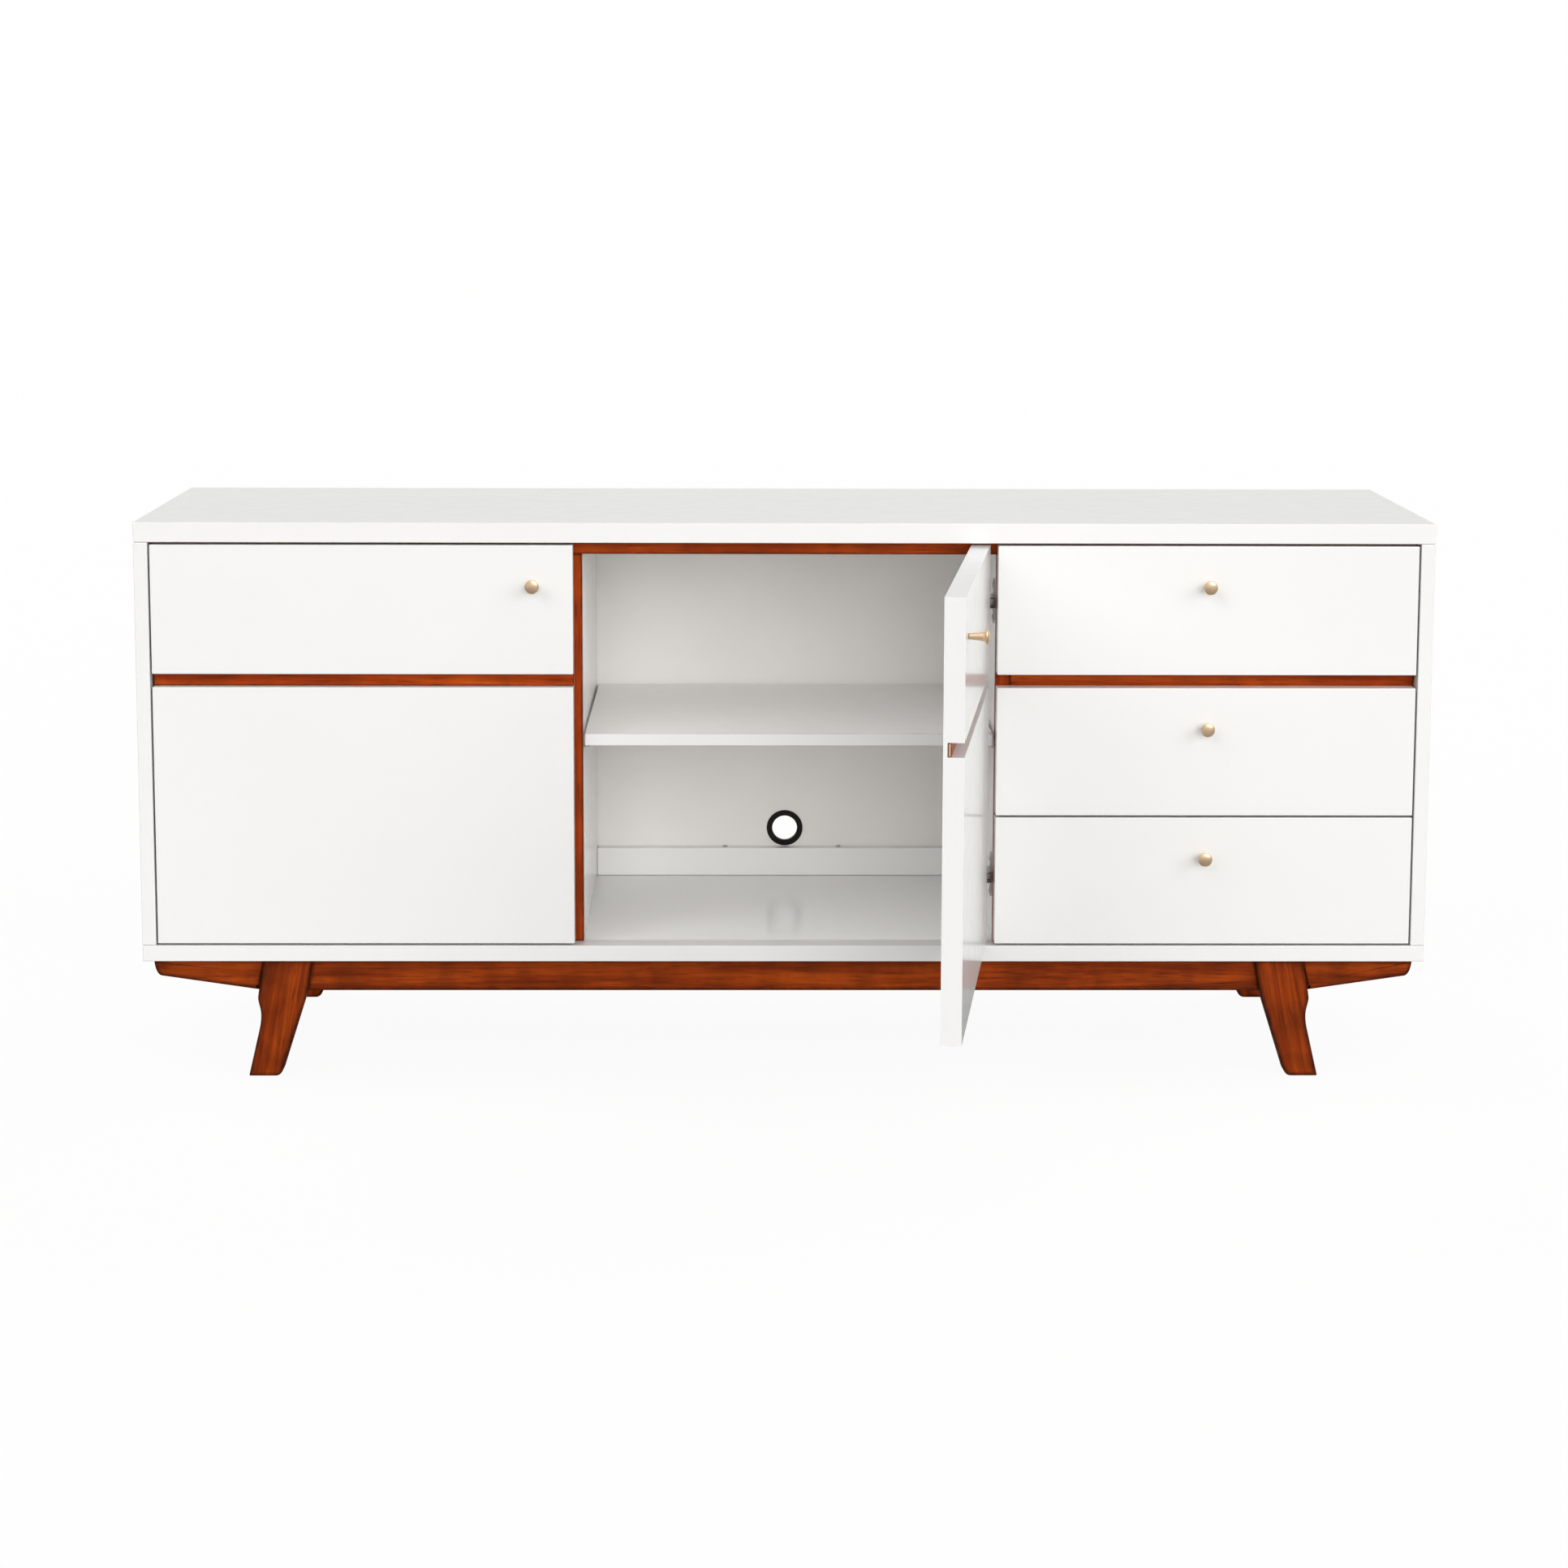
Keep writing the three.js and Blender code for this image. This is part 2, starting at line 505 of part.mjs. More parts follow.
function buildBase() {
  const group = new THREE.Group();
  const frontLegY = [LEG_FRONT_INSET, LEG_FRONT_INSET + LEG_THICKNESS];
  const rearLegY = [CASE_DEPTH - LEG_REAR_INSET - LEG_THICKNESS, CASE_DEPTH - LEG_REAR_INSET];
  const frontBeamY = [frontLegY[0] + LEG_BEAM_STEP, frontLegY[0] + LEG_BEAM_STEP + BEAM_DEPTH];
  const rearBeamY = [rearLegY[1] - LEG_BEAM_STEP - BEAM_DEPTH, rearLegY[1] - LEG_BEAM_STEP];
  const frontHousing = [frontLegY[0] - 1, frontLegY[1] + JOINT_GAP];
  const rearHousing = [rearLegY[0] - JOINT_GAP, rearLegY[1] + 1];
  place(group, 'front_beam', beamGeometry(frontBeamY, frontHousing), stainedWood);
  place(group, 'rear_beam', beamGeometry(rearBeamY, rearHousing), stainedWood);
  for (const [row, legY] of [['front', frontLegY], ['rear', rearLegY]]) {
    for (const [hand, side] of [['left', -1], ['right', 1]]) {
      const leg = extrudedToRear(legOutline(side), LEG_THICKNESS);
      place(group, `leg_${row}_${hand}`, leg, stainedWood, 0, legY[0], 0);
    }
  }
  for (const [hand, side] of [['left', -1], ['right', 1]]) {
    const middle = side * (halfWidth - CROSS_RAIL_FROM_SIDE);
    board(group, `cross_rail_${hand}`, stainedWood,
      [middle - CROSS_RAIL_THICKNESS / 2, middle + CROSS_RAIL_THICKNESS / 2],
      [frontBeamY[1] + JOINT_GAP, rearBeamY[0] - JOINT_GAP],
      [LEG_HEIGHT - JOINT_GAP - CROSS_RAIL_HEIGHT, LEG_HEIGHT - JOINT_GAP]);
  }
  return group;
}

// ---------- the whole console ----------
const cabinet = new THREE.Group();
cabinet.add(buildCase(), buildBase());

const leftDoor = buildDoor('left', leftDoorX, -1);
const centerDoor = buildDoor('center', centerDoorX, 1);
centerDoor.rotation.z = THREE.MathUtils.degToRad(CENTER_DOOR_OPEN_DEG);
cabinet.add(leftDoor, centerDoor);
addHingeArms(cabinet, 'left', -innerHalf, 1);
addHingeArms(cabinet, 'center', rightDividerX[0], -1);

drawerTops.forEach((top, index) => {
  cabinet.add(buildDrawer(index + 1, top));
  addSlides(cabinet, index + 1, top);
});

// the origin goes to the middle of the floor under the whole, door included
const bounds = new THREE.Box3().setFromObject(cabinet);
cabinet.position.set(-(bounds.min.x + bounds.max.x) / 2, -(bounds.min.y + bounds.max.y) / 2, -bounds.min.z);

export default cabinet;
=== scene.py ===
# A low media console: a white lacquered case on a stained wood base, with a door and
# a stack of drawers at its ends and an open bay behind a second door in the middle.
import json
from math import cos, hypot, pi, radians, sin

import bmesh
import bpy
from mathutils import Matrix, Vector

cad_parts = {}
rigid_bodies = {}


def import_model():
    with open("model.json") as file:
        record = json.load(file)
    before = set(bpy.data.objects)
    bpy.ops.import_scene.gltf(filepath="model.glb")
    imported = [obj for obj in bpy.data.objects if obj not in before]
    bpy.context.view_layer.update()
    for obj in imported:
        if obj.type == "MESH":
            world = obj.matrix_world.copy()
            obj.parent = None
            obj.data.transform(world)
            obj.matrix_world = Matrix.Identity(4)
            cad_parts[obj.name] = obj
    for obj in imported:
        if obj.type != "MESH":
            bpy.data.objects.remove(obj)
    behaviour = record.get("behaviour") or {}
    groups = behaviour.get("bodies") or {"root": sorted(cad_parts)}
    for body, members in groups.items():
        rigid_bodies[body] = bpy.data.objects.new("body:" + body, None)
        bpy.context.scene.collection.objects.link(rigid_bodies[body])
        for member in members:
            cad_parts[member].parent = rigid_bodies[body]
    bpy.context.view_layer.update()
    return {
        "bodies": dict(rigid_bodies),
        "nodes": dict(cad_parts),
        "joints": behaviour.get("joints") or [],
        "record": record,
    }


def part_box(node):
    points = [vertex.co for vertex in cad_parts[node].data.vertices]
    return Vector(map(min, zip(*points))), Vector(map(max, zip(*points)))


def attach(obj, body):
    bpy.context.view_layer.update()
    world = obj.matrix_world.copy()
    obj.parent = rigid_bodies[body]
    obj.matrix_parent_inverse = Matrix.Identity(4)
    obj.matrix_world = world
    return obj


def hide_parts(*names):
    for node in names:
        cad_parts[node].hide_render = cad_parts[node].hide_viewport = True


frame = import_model()
nodes = frame["nodes"]
body_of = {
    node: body
    for body, members in frame["record"]["behaviour"]["bodies"].items()
    for node in members
}

# ---------- camera ----------
# It stands four metres in front of the cabinet, a little left of its middle and above
# its top, and looks slightly down. The shift keeps the cabinet in the middle of the view.
CAMERA_PLACE = (-0.0525, -4.2317, 1.1596)
CAMERA_TURN = [radians(turn) for turn in (81.891, -0.166, -0.658)]
CAMERA_LENS = 78.83
CAMERA_SHIFT = -0.086

camera = bpy.data.objects.new("camera", bpy.data.cameras.new("camera"))
camera.location = CAMERA_PLACE
camera.rotation_euler = CAMERA_TURN
camera.data.lens = CAMERA_LENS
camera.data.shift_y = CAMERA_SHIFT
bpy.context.collection.objects.link(camera)
bpy.context.scene.camera = camera
bpy.context.scene.view_settings.view_transform = "Standard"


# ---------- studio ----------
# A plain pale floor runs out of sight under a white sky. Both look whiter than the light
# that they cast, as in a bright studio. Soft lights stand in front, at both sides, behind
# and overhead. Those near the level of the top do not show in its gloss, so that it keeps
# its tone, and a lamp higher up gives the metal its shine.
FLOOR_HALF = 60.0
FLOOR_PALE = (0.34, 0.34, 0.335, 1)
FLOOR_GLOW = 1.13
FLOOR_GLOW_SHARE = 0.82
WHITE_SKY = (1, 1, 1, 1)
SKY_SHEEN = 0.75
SKY_LIGHT = 0.17


def add_node(tree, kind, inputs=None, **settings):
    """Adds a node with its settings, and sets or links its inputs by name or number."""
    made = tree.nodes.new(kind)
    for setting, value in settings.items():
        setattr(made, setting, value)
    for socket, value in (inputs or {}).items():
        if isinstance(value, bpy.types.NodeSocket):
            tree.links.new(value, made.inputs[socket])
        else:
            made.inputs[socket].default_value = value
    return made


def new_finish(name):
    """A material: itself, its node tree, its shader and the coordinates it is drawn in."""
    finish = bpy.data.materials.new(name)
    finish.use_nodes = True
    tree = finish.node_tree
    place = add_node(tree, "ShaderNodeTexCoord").outputs["Object"]
    return finish, tree, tree.nodes["Principled BSDF"], place


def spread(tree, value, low, high, span=(0.3, 0.7)):
    """Spreads a noise's middle range between two values."""
    made = add_node(tree, "ShaderNodeMapRange", {
        "Value": value, "From Min": span[0], "From Max": span[1], "To Min": low, "To Max": high,
    })
    return made.outputs["Result"]


def floor_finish():
    finish, tree, shader, place = new_finish("studio_floor")
    mottle = add_node(tree, "ShaderNodeTexNoise", {"Vector": place, "Scale": 2.0, "Detail": 3.0})
    tree.links.new(spread(tree, mottle.outputs["Fac"], 0.7, 0.8), shader.inputs["Roughness"])
    shader.inputs["Base Color"].default_value = FLOOR_PALE
    shader.inputs["Specular IOR Level"].default_value = 0.2
    glow = add_node(tree, "ShaderNodeEmission", {"Color": WHITE_SKY, "Strength": FLOOR_GLOW})
    share = add_node(tree, "ShaderNodeMath", {
        0: add_node(tree, "ShaderNodeLightPath").outputs["Is Camera Ray"], 1: FLOOR_GLOW_SHARE,
    }, operation="MULTIPLY")
    mixed = add_node(tree, "ShaderNodeMixShader", {
        0: share.outputs["Value"], 1: shader.outputs[0], 2: glow.outputs[0],
    })
    tree.links.new(mixed.outputs[0], tree.nodes["Material Output"].inputs["Surface"])
    return finish


floor_mesh = bpy.data.meshes.new("floor")
floor_mesh.from_pydata(
    [(-FLOOR_HALF, -FLOOR_HALF, 0), (FLOOR_HALF, -FLOOR_HALF, 0),
     (FLOOR_HALF, FLOOR_HALF, 0), (-FLOOR_HALF, FLOOR_HALF, 0)], [], [(0, 1, 2, 3)])
floor_mesh.materials.append(floor_finish())
floor = bpy.data.objects.new("floor", floor_mesh)
bpy.context.collection.objects.link(floor)

# the sky shows white, a little less so in a gloss, and lights less than it shows
sky = bpy.data.worlds.new("sky")
sky.use_nodes = True
sky_tree = sky.node_tree
ray = add_node(sky_tree, "ShaderNodeLightPath").outputs
shown = sky_tree.nodes["Background"].outputs[0]
for kind, strength in ((None, SKY_LIGHT), ("Is Glossy Ray", SKY_SHEEN), ("Is Camera Ray", 1.0)):
    layer = add_node(sky_tree, "ShaderNodeBackground", {"Color": WHITE_SKY, "Strength": strength})
    shown = add_node(sky_tree, "ShaderNodeMixShader", {
        0: ray[kind], 1: shown, 2: layer.outputs[0],
    }).outputs[0] if kind else layer.outputs[0]
sky_tree.links.new(shown, sky_tree.nodes["World Output"].inputs["Surface"])
bpy.context.scene.world = sky


def soft_light(name, azimuth, elevation, strength, breadth, glossy=False):
    """A broad far light. Azimuth 0 is straight in front of the cabinet, and 90 its right."""
    light = bpy.data.objects.new(name, bpy.data.lights.new(name, "SUN"))
    light.data.energy = strength
    light.data.angle = radians(breadth)
    side, rise = radians(azimuth), radians(elevation)
    toward = Vector((sin(side) * cos(rise), -cos(side) * cos(rise), sin(rise)))
    light.rotation_euler = toward.to_track_quat("Z", "Y").to_euler()
    light.visible_glossy = glossy
    bpy.context.collection.objects.link(light)
    return light


soft_light("front_light", azimuth=7, elevation=10, strength=1.74, breadth=34)
soft_light("right_light", azimuth=48, elevation=22, strength=1.02, breadth=38)
soft_light("left_light", azimuth=-38, elevation=30, strength=0.88, breadth=36)
soft_light("overhead_light", azimuth=0, elevation=80, strength=0.4, breadth=60, glossy=True)
soft_light("rear_left_light", azimuth=-125, elevation=22, strength=1.3, breadth=50)
soft_light("rear_right_light", azimuth=125, elevation=22, strength=1.5, breadth=50)
shine = soft_light("shine_light", azimuth=32, elevation=40, strength=2.4, breadth=36, glossy=True)
shine.visible_diffuse = False

# a weak unseen panel of light just inside the mouth of the bay fills its shadows
BAY_FILL_WATTS = 0.36
BAY_FILL_SET_IN = 0.006
fill = bpy.data.objects.new("bay_fill_light", bpy.data.lights.new("bay_fill_light", "AREA"))
fill_low = Vector((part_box("divider_left")[1].x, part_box("shelf")[0].y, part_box("bottom_board")[1].z))
fill_high = Vector((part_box("divider_right")[0].x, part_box("shelf")[0].y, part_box("top_rail")[0].z))
fill.data.shape = "RECTANGLE"
fill.data.size = fill_high.x - fill_low.x
fill.data.size_y = fill_high.z - fill_low.z
fill.data.energy = BAY_FILL_WATTS
fill.location = (fill_low + fill_high) / 2 + Vector((0, BAY_FILL_SET_IN, 0))
fill.rotation_euler = (radians(90), 0, 0)
fill.visible_camera = False
fill.visible_glossy = False
bpy.context.collection.objects.link(fill)


# ---------- case boards ----------
# The top and bottom run the full width, and the sides and the two dividers stand between
# them, glued and dowelled. They are white boards sprayed with several coats of lacquer
# and rubbed down, so every edge is slightly rounded and the face has a faint orange peel.
LACQUER_WHITE = (0.822, 0.815, 0.800, 1)
LACQUER_DEEP = (0.806, 0.800, 0.786, 1)
BOARD_EDGE = 0.0012
WELD = 2e-5
FLAT_ANGLE = radians(0.6)
SHARP_ANGLE = radians(35)
EDGE_STEPS = 3


def tint(tree, shader, noise, deep, light):
    """Colours a finish between two tones, as a noise goes."""
    tone = add_node(tree, "ShaderNodeMix", {
        "Factor": spread(tree, noise.outputs["Fac"], 0.0, 1.0), 6: deep, 7: light,
    }, data_type="RGBA")
    tree.links.new(tone.outputs[2], shader.inputs["Base Color"])


def dull(tree, shader, noise, low, high):
    """Spreads a finish's roughness between two values, as a noise goes."""
    tree.links.new(spread(tree, noise.outputs["Fac"], low, high), shader.inputs["Roughness"])


def emboss(tree, shader, noise, strength, depth):
    """Gives a finish a fine relief, as a noise goes."""
    bump = add_node(tree, "ShaderNodeBump", {
        "Height": noise.outputs["Fac"], "Strength": strength, "Distance": depth,
    })
    tree.links.new(bump.outputs["Normal"], shader.inputs["Normal"])


def lacquer():
    finish, tree, shader, place = new_finish("white_lacquer")
    cloud = add_node(tree, "ShaderNodeTexNoise", {"Vector": place, "Scale": 3.5, "Detail": 3.0})
    tint(tree, shader, cloud, LACQUER_DEEP, LACQUER_WHITE)
    rub = add_node(tree, "ShaderNodeTexNoise", {"Vector": place, "Scale": 40.0, "Detail": 5.0})
    dull(tree, shader, rub, 0.17, 0.19)
    peel = add_node(tree, "ShaderNodeTexNoise", {"Vector": place, "Scale": 260.0, "Detail": 2.0})
    emboss(tree, shader, peel, strength=0.012, depth=0.0004)
    return finish


def new_piece(name, shape):
    """An object at the origin, with the shape's faces as its mesh, in the collection."""
    mesh = bpy.data.meshes.new(name)
    shape.to_mesh(mesh)
    shape.free()
    mesh.shade_smooth()
    piece = bpy.data.objects.new(name, mesh)
    bpy.context.collection.objects.link(piece)
    return piece


def settle(piece):
    """Turns what a piece's modifiers make into its own plain mesh."""
    graph = bpy.context.evaluated_depsgraph_get()
    mesh = bpy.data.meshes.new_from_object(piece.evaluated_get(graph))
    piece.modifiers.clear()
    piece.data = mesh
    return piece


def true_faces(piece):
    """Flat faces shade flat right up to their rounded edges."""
    normals = piece.modifiers.new("true faces", "WEIGHTED_NORMAL")
    normals.weight = 100
    return settle(piece)


def eased(node, radius, glaze_and_shade=0.0, sharp_at=()):
    """A CAD solid with its sharp edges rounded. A width for the dark edges adds the attribute arris,
    1 on the edges and 0 further in, which the stained wood darkens: partly glazing stain,
    partly painted shade. What is housed in the nodes in sharp_at stays sharp."""
    housings = [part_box(name) for name in sharp_at]
    shape = bmesh.new()
    shape.from_mesh(nodes[node].data)
    bmesh.ops.remove_doubles(shape, verts=shape.verts, dist=WELD)
    bmesh.ops.dissolve_limit(shape, angle_limit=FLAT_ANGLE, verts=shape.verts, edges=shape.edges)

    def housed(point):
        return any(all(low[i] - radius < point[i] < high[i] + radius for i in (0, 1, 2))
                   for low, high in housings)

    arrises = [edge for edge in shape.edges if edge.calc_face_angle(0) > SHARP_ANGLE
               and not housed((edge.verts[0].co + edge.verts[1].co) / 2)]
    rounded = bmesh.ops.bevel(
        shape, geom=arrises, offset=radius, offset_type="OFFSET", segments=EDGE_STEPS,
        profile=0.5, affect="EDGES", clamp_overlap=True)["faces"]
    if glaze_and_shade:
        arris = shape.verts.layers.float.new("arris")
        rounded = set(rounded)
        broad = [face for face in shape.faces
                 if face not in rounded and not housed(face.calc_center_median())]
        for vert in shape.verts:
            vert[arris] = 1.0
        bmesh.ops.inset_region(shape, faces=broad, thickness=glaze_and_shade, use_even_offset=True)
        for face in broad:
            for vert in face.verts:
                vert[arris] = 0.0
    return true_faces(new_piece(f"{node}_finished", shape))


def hand_over(piece, finish, slot, body, *stands_for):
    """Gives a piece its finish and its body, and hides the CAD nodes that it stands for."""
    piece.data.materials.clear()
    piece.data.materials.append(finish)
    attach(piece, body)
    if stands_for:
        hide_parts(*stands_for)
    return piece


WHITE = lacquer()
for board in ("top_board", "bottom_board", "side_left", "side_right",
              "divider_left", "divider_right"):
    hand_over(eased(board, BOARD_EDGE), WHITE, "white_lacquer", "case", board)


# ---------- stained frame ----------
# Solid wood lippings on the dividers' front edges, a rail under the top and a rail behind
# the gap between the first two drawers, stained red-brown and clear coated. They are set
# back behind the fronts, so only their faces show in the gaps.
FRAME_STAIN = ((0.150, 0.018, 0.0016, 1), (0.370, 0.046, 0.0034, 1), (0.520, 0.080, 0.0070, 1))
WOOD_PORE = (0.045, 0.007, 0.0012, 1)
# the colour the edges darken to: partly glazing stain, partly painted shade
WOOD_GLAZE_AND_SHADE = (0.026, 0.005, 0.0012, 1)
WOOD_BARE = (0.600, 0.360, 0.230, 1)
WOOD_SHEEN = 0.11
FRAME_EDGE = 0.0007
# how far in the frame's darker edges reach: glazing stain and painted shade
FRAME_GLAZE_AND_SHADE = 0.0018
ALONG = {"x": (0.05, 1, 1), "y": (1, 0.05, 1), "z": (1, 1, 0.05)}


def stained_wood(name, stain, grain, turn=(0, 0, 0)):
    """Grain along one axis, or along that axis once the wood's coordinates are turned.
    The stain is three tones, from the darkest rings to the lightest."""
    dark, middling, light = stain
    finish, tree, shader, place = new_finish(name)
    turned = add_node(tree, "ShaderNodeMapping", {"Vector": place, "Rotation": turn})
    drawn = add_node(tree, "ShaderNodeMapping", {
        "Vector": turned.outputs["Vector"], "Scale": ALONG[grain],
    }).outputs["Vector"]
    wander = add_node(tree, "ShaderNodeTexNoise", {"Vector": drawn, "Scale": 11.0, "Detail": 3.0})
    bent = add_node(tree, "ShaderNodeVectorMath", {
        0: drawn, 1: add_node(tree, "ShaderNodeVectorMath", {
            0: wander.outputs["Color"], 1: (0.05, 0.05, 0.05),
        }, operation="MULTIPLY").outputs["Vector"],
    }, operation="ADD").outputs["Vector"]
    rings = add_node(tree, "ShaderNodeTexNoise", {
        "Vector": bent, "Scale": 70.0, "Detail": 6.0, "Roughness": 0.62, "Distortion": 0.6,
    })
    ramp = add_node(tree, "ShaderNodeValToRGB", {"Fac": rings.outputs["Fac"]})
    ramp.color_ramp.elements[0].position = 0.28
    ramp.color_ramp.elements[0].color = dark
    ramp.color_ramp.elements[1].position = 0.72
    ramp.color_ramp.elements[1].color = light
    ramp.color_ramp.elements.new(0.47).color = middling

    # pores are short dark strokes along the grain, and blotches are where stain sat longer
    strokes = add_node(tree, "ShaderNodeTexNoise", {
        "Vector": drawn, "Scale": 520.0, "Detail": 2.0,
    })
    pored = add_node(tree, "ShaderNodeMix", {
        "Factor": spread(tree, strokes.outputs["Fac"], 0.0, 0.55, (0.56, 0.70)),
        6: ramp.outputs["Color"], 7: WOOD_PORE,
    }, data_type="RGBA")
    blotch = add_node(tree, "ShaderNodeTexNoise", {
        "Vector": turned.outputs["Vector"], "Scale": 22.0, "Detail": 4.0,
    })
    blotched = add_node(tree, "ShaderNodeMix", {
        "Factor": spread(tree, blotch.outputs["Fac"], 0.0, 0.55, (0.42, 0.72)),
        6: pored.outputs[2], 7: dark,
    }, data_type="RGBA")
    sawn = add_node(tree, "ShaderNodeMix", {
        "Factor": add_node(tree, "ShaderNodeAttribute", attribute_name="bare").outputs["Fac"],
        6: blotched.outputs[2], 7: WOOD_BARE,
    }, data_type="RGBA")

    # the wood is darker along every edge: partly glazing stain left there when the faces were
    # wiped, partly painted shade for the shadow under the case and the shade that falls on edges
    arris = add_node(tree, "ShaderNodeAttribute", attribute_name="arris")
    edge_patches = add_node(tree, "ShaderNodeTexNoise", {"Vector": place, "Scale": 85.0, "Detail": 4.0})
    patchy = add_node(tree, "ShaderNodeMath", {
        0: arris.outputs["Fac"], 1: spread(tree, edge_patches.outputs["Fac"], 0.45, 1.0),
    }, operation="MULTIPLY")
    glazed_and_shaded = add_node(tree, "ShaderNodeMix", {
        "Factor": patchy.outputs["Value"], 6: sawn.outputs[2], 7: WOOD_GLAZE_AND_SHADE,
    }, data_type="RGBA")
    tree.links.new(glazed_and_shaded.outputs[2], shader.inputs["Base Color"])
    dull(tree, shader, rings, 0.46, 0.34)
    shader.inputs["Specular IOR Level"].default_value = WOOD_SHEEN
    emboss(tree, shader, strokes, strength=0.12, depth=0.0003)
    return finish


FRAME_WOOD = {grain: stained_wood(f"frame_wood_{grain}", FRAME_STAIN, grain) for grain in "xz"}
for node, grain in (("top_rail", "x"), ("drawer_rail", "x"),
                    ("divider_lipping_left", "z"), ("divider_lipping_right", "z")):
    hand_over(eased(node, FRAME_EDGE, FRAME_GLAZE_AND_SHADE), FRAME_WOOD[grain], "stained_wood",
              "case", node)


# ---------- screws ----------
# Every screw on show has a low domed head with a cross recess. The tree makes one head
# and sets it, turned by chance, at each point of a mesh, looking the way outward says.
SCREW_SIDES = 20
SCREW_DRAW_IN = 0.72
RECESS_LENGTH = 1.05
RECESS_WIDTH = 0.24
ZINC_GREY = (0.50, 0.51, 0.52)
NICKEL_GREY = (0.56, 0.55, 0.53)
PLATING_SHADE = 0.82


def new_tree(name, inputs):
    """A tree that takes and gives a mesh, and the outputs of its input node. Each of its
    other inputs has a name and a kind."""
    tree = bpy.data.node_groups.new(name, "GeometryNodeTree")
    face = tree.interface
    face.new_socket("Geometry", in_out="INPUT", socket_type="NodeSocketGeometry")
    for label, kind in inputs.items():
        face.new_socket(label, in_out="INPUT", socket_type=f"NodeSocket{kind}")
    face.new_socket("Geometry", in_out="OUTPUT", socket_type="NodeSocketGeometry")
    return tree, tree.nodes.new("NodeGroupInput").outputs


def laid_out(points, tree, values):
    """What a tree makes from a mesh of points, with a value for each of its named inputs."""
    piece = bpy.data.objects.new(points.name, points)
    bpy.context.collection.objects.link(piece)
    laying = piece.modifiers.new(tree.name, "NODES")
    laying.node_group = tree
    for socket in tree.interface.items_tree:
        if socket.in_out == "INPUT" and socket.name in values:
            laying[socket.identifier] = values[socket.name]
    return settle(piece)


def screw_heads():
    tree, given = new_tree("screw_heads", {
        "Head radius": "Float", "Head height": "Float", "Recess width": "Float",
        "Seed": "Int", "Finish": "Material",
    })

    def maths(operation, first, second):
        return add_node(tree, "ShaderNodeMath", {0: first, 1: second},
                        operation=operation).outputs["Value"]

    # a drum whose rings draw in with height makes the dome
    drum = add_node(tree, "GeometryNodeMeshCylinder", {
        "Vertices": SCREW_SIDES, "Side Segments": 5, "Fill Segments": 1,
        "Radius": given["Head radius"], "Depth": given["Head height"],
    })
    at = add_node(tree, "ShaderNodeSeparateXYZ", {
        0: add_node(tree, "GeometryNodeInputPosition").outputs[0],
    })
    rise = maths("ADD", maths("DIVIDE", at.outputs["Z"], given["Head height"]), 0.5)
    fall = maths("MULTIPLY", maths("MULTIPLY", rise, rise), SCREW_DRAW_IN)
    draw_in = maths("SQRT", maths("SUBTRACT", 1.0, fall), 0.0)
    lifted = maths("ADD", at.outputs["Z"], maths("MULTIPLY", given["Head height"], 0.5))
    moved = add_node(tree, "ShaderNodeCombineXYZ", {
        "X": maths("MULTIPLY", at.outputs["X"], draw_in),
        "Y": maths("MULTIPLY", at.outputs["Y"], draw_in), "Z": lifted,
    })
    dome = add_node(tree, "GeometryNodeSetPosition", {
        "Geometry": drum.outputs["Mesh"], "Position": moved.outputs[0],
    })

    # two crossed slots, cut half the head's height deep
    length, width = maths("MULTIPLY", given["Head radius"], RECESS_LENGTH), given["Recess width"]
    cross = [add_node(tree, "GeometryNodeMeshCube", {
        "Size": add_node(tree, "ShaderNodeCombineXYZ", {
            "X": x, "Y": y, "Z": given["Head height"],
        }).outputs[0],
    }).outputs["Mesh"] for x, y in ((length, width), (width, length))]
    raised = [add_node(tree, "GeometryNodeTransform", {
        "Geometry": bar, "Translation": add_node(tree, "ShaderNodeCombineXYZ", {
            "Z": given["Head height"],
        }).outputs[0],
    }).outputs["Geometry"] for bar in cross]
    head = add_node(tree, "GeometryNodeMeshBoolean", {"Mesh 1": dome.outputs["Geometry"]},
                    operation="DIFFERENCE")
    for bar in raised:
        tree.links.new(bar, head.inputs["Mesh 2"])

    facing = add_node(tree, "FunctionNodeAlignRotationToVector", {
        "Vector": add_node(tree, "GeometryNodeInputNamedAttribute", {"Name": "outward"},
                           data_type="FLOAT_VECTOR").outputs["Attribute"],
    }, axis="Z")
    chance = add_node(tree, "FunctionNodeRandomValue", {"Seed": given["Seed"]}, data_type="FLOAT")
    chance.inputs[3].default_value = pi / 2
    spin = add_node(tree, "FunctionNodeAxisAngleToRotation", {
        "Axis": (0, 0, 1), "Angle": chance.outputs[1],
    })
    turned = add_node(tree, "FunctionNodeRotateRotation", {
        "Rotation": facing.outputs["Rotation"], "Rotate By": spin.outputs["Rotation"],
    }, rotation_space="LOCAL")
    set_out = add_node(tree, "GeometryNodeInstanceOnPoints", {
        "Points": given["Geometry"], "Instance": head.outputs["Mesh"],
        "Rotation": turned.outputs["Rotation"],
    })
    real = add_node(tree, "GeometryNodeRealizeInstances", {"Geometry": set_out.outputs[0]})
    finished = add_node(tree, "GeometryNodeSetMaterial", {
        "Geometry": real.outputs[0], "Material": given["Finish"],
    })
    add_node(tree, "NodeGroupOutput", {"Geometry": finished.outputs[0]})
    return tree


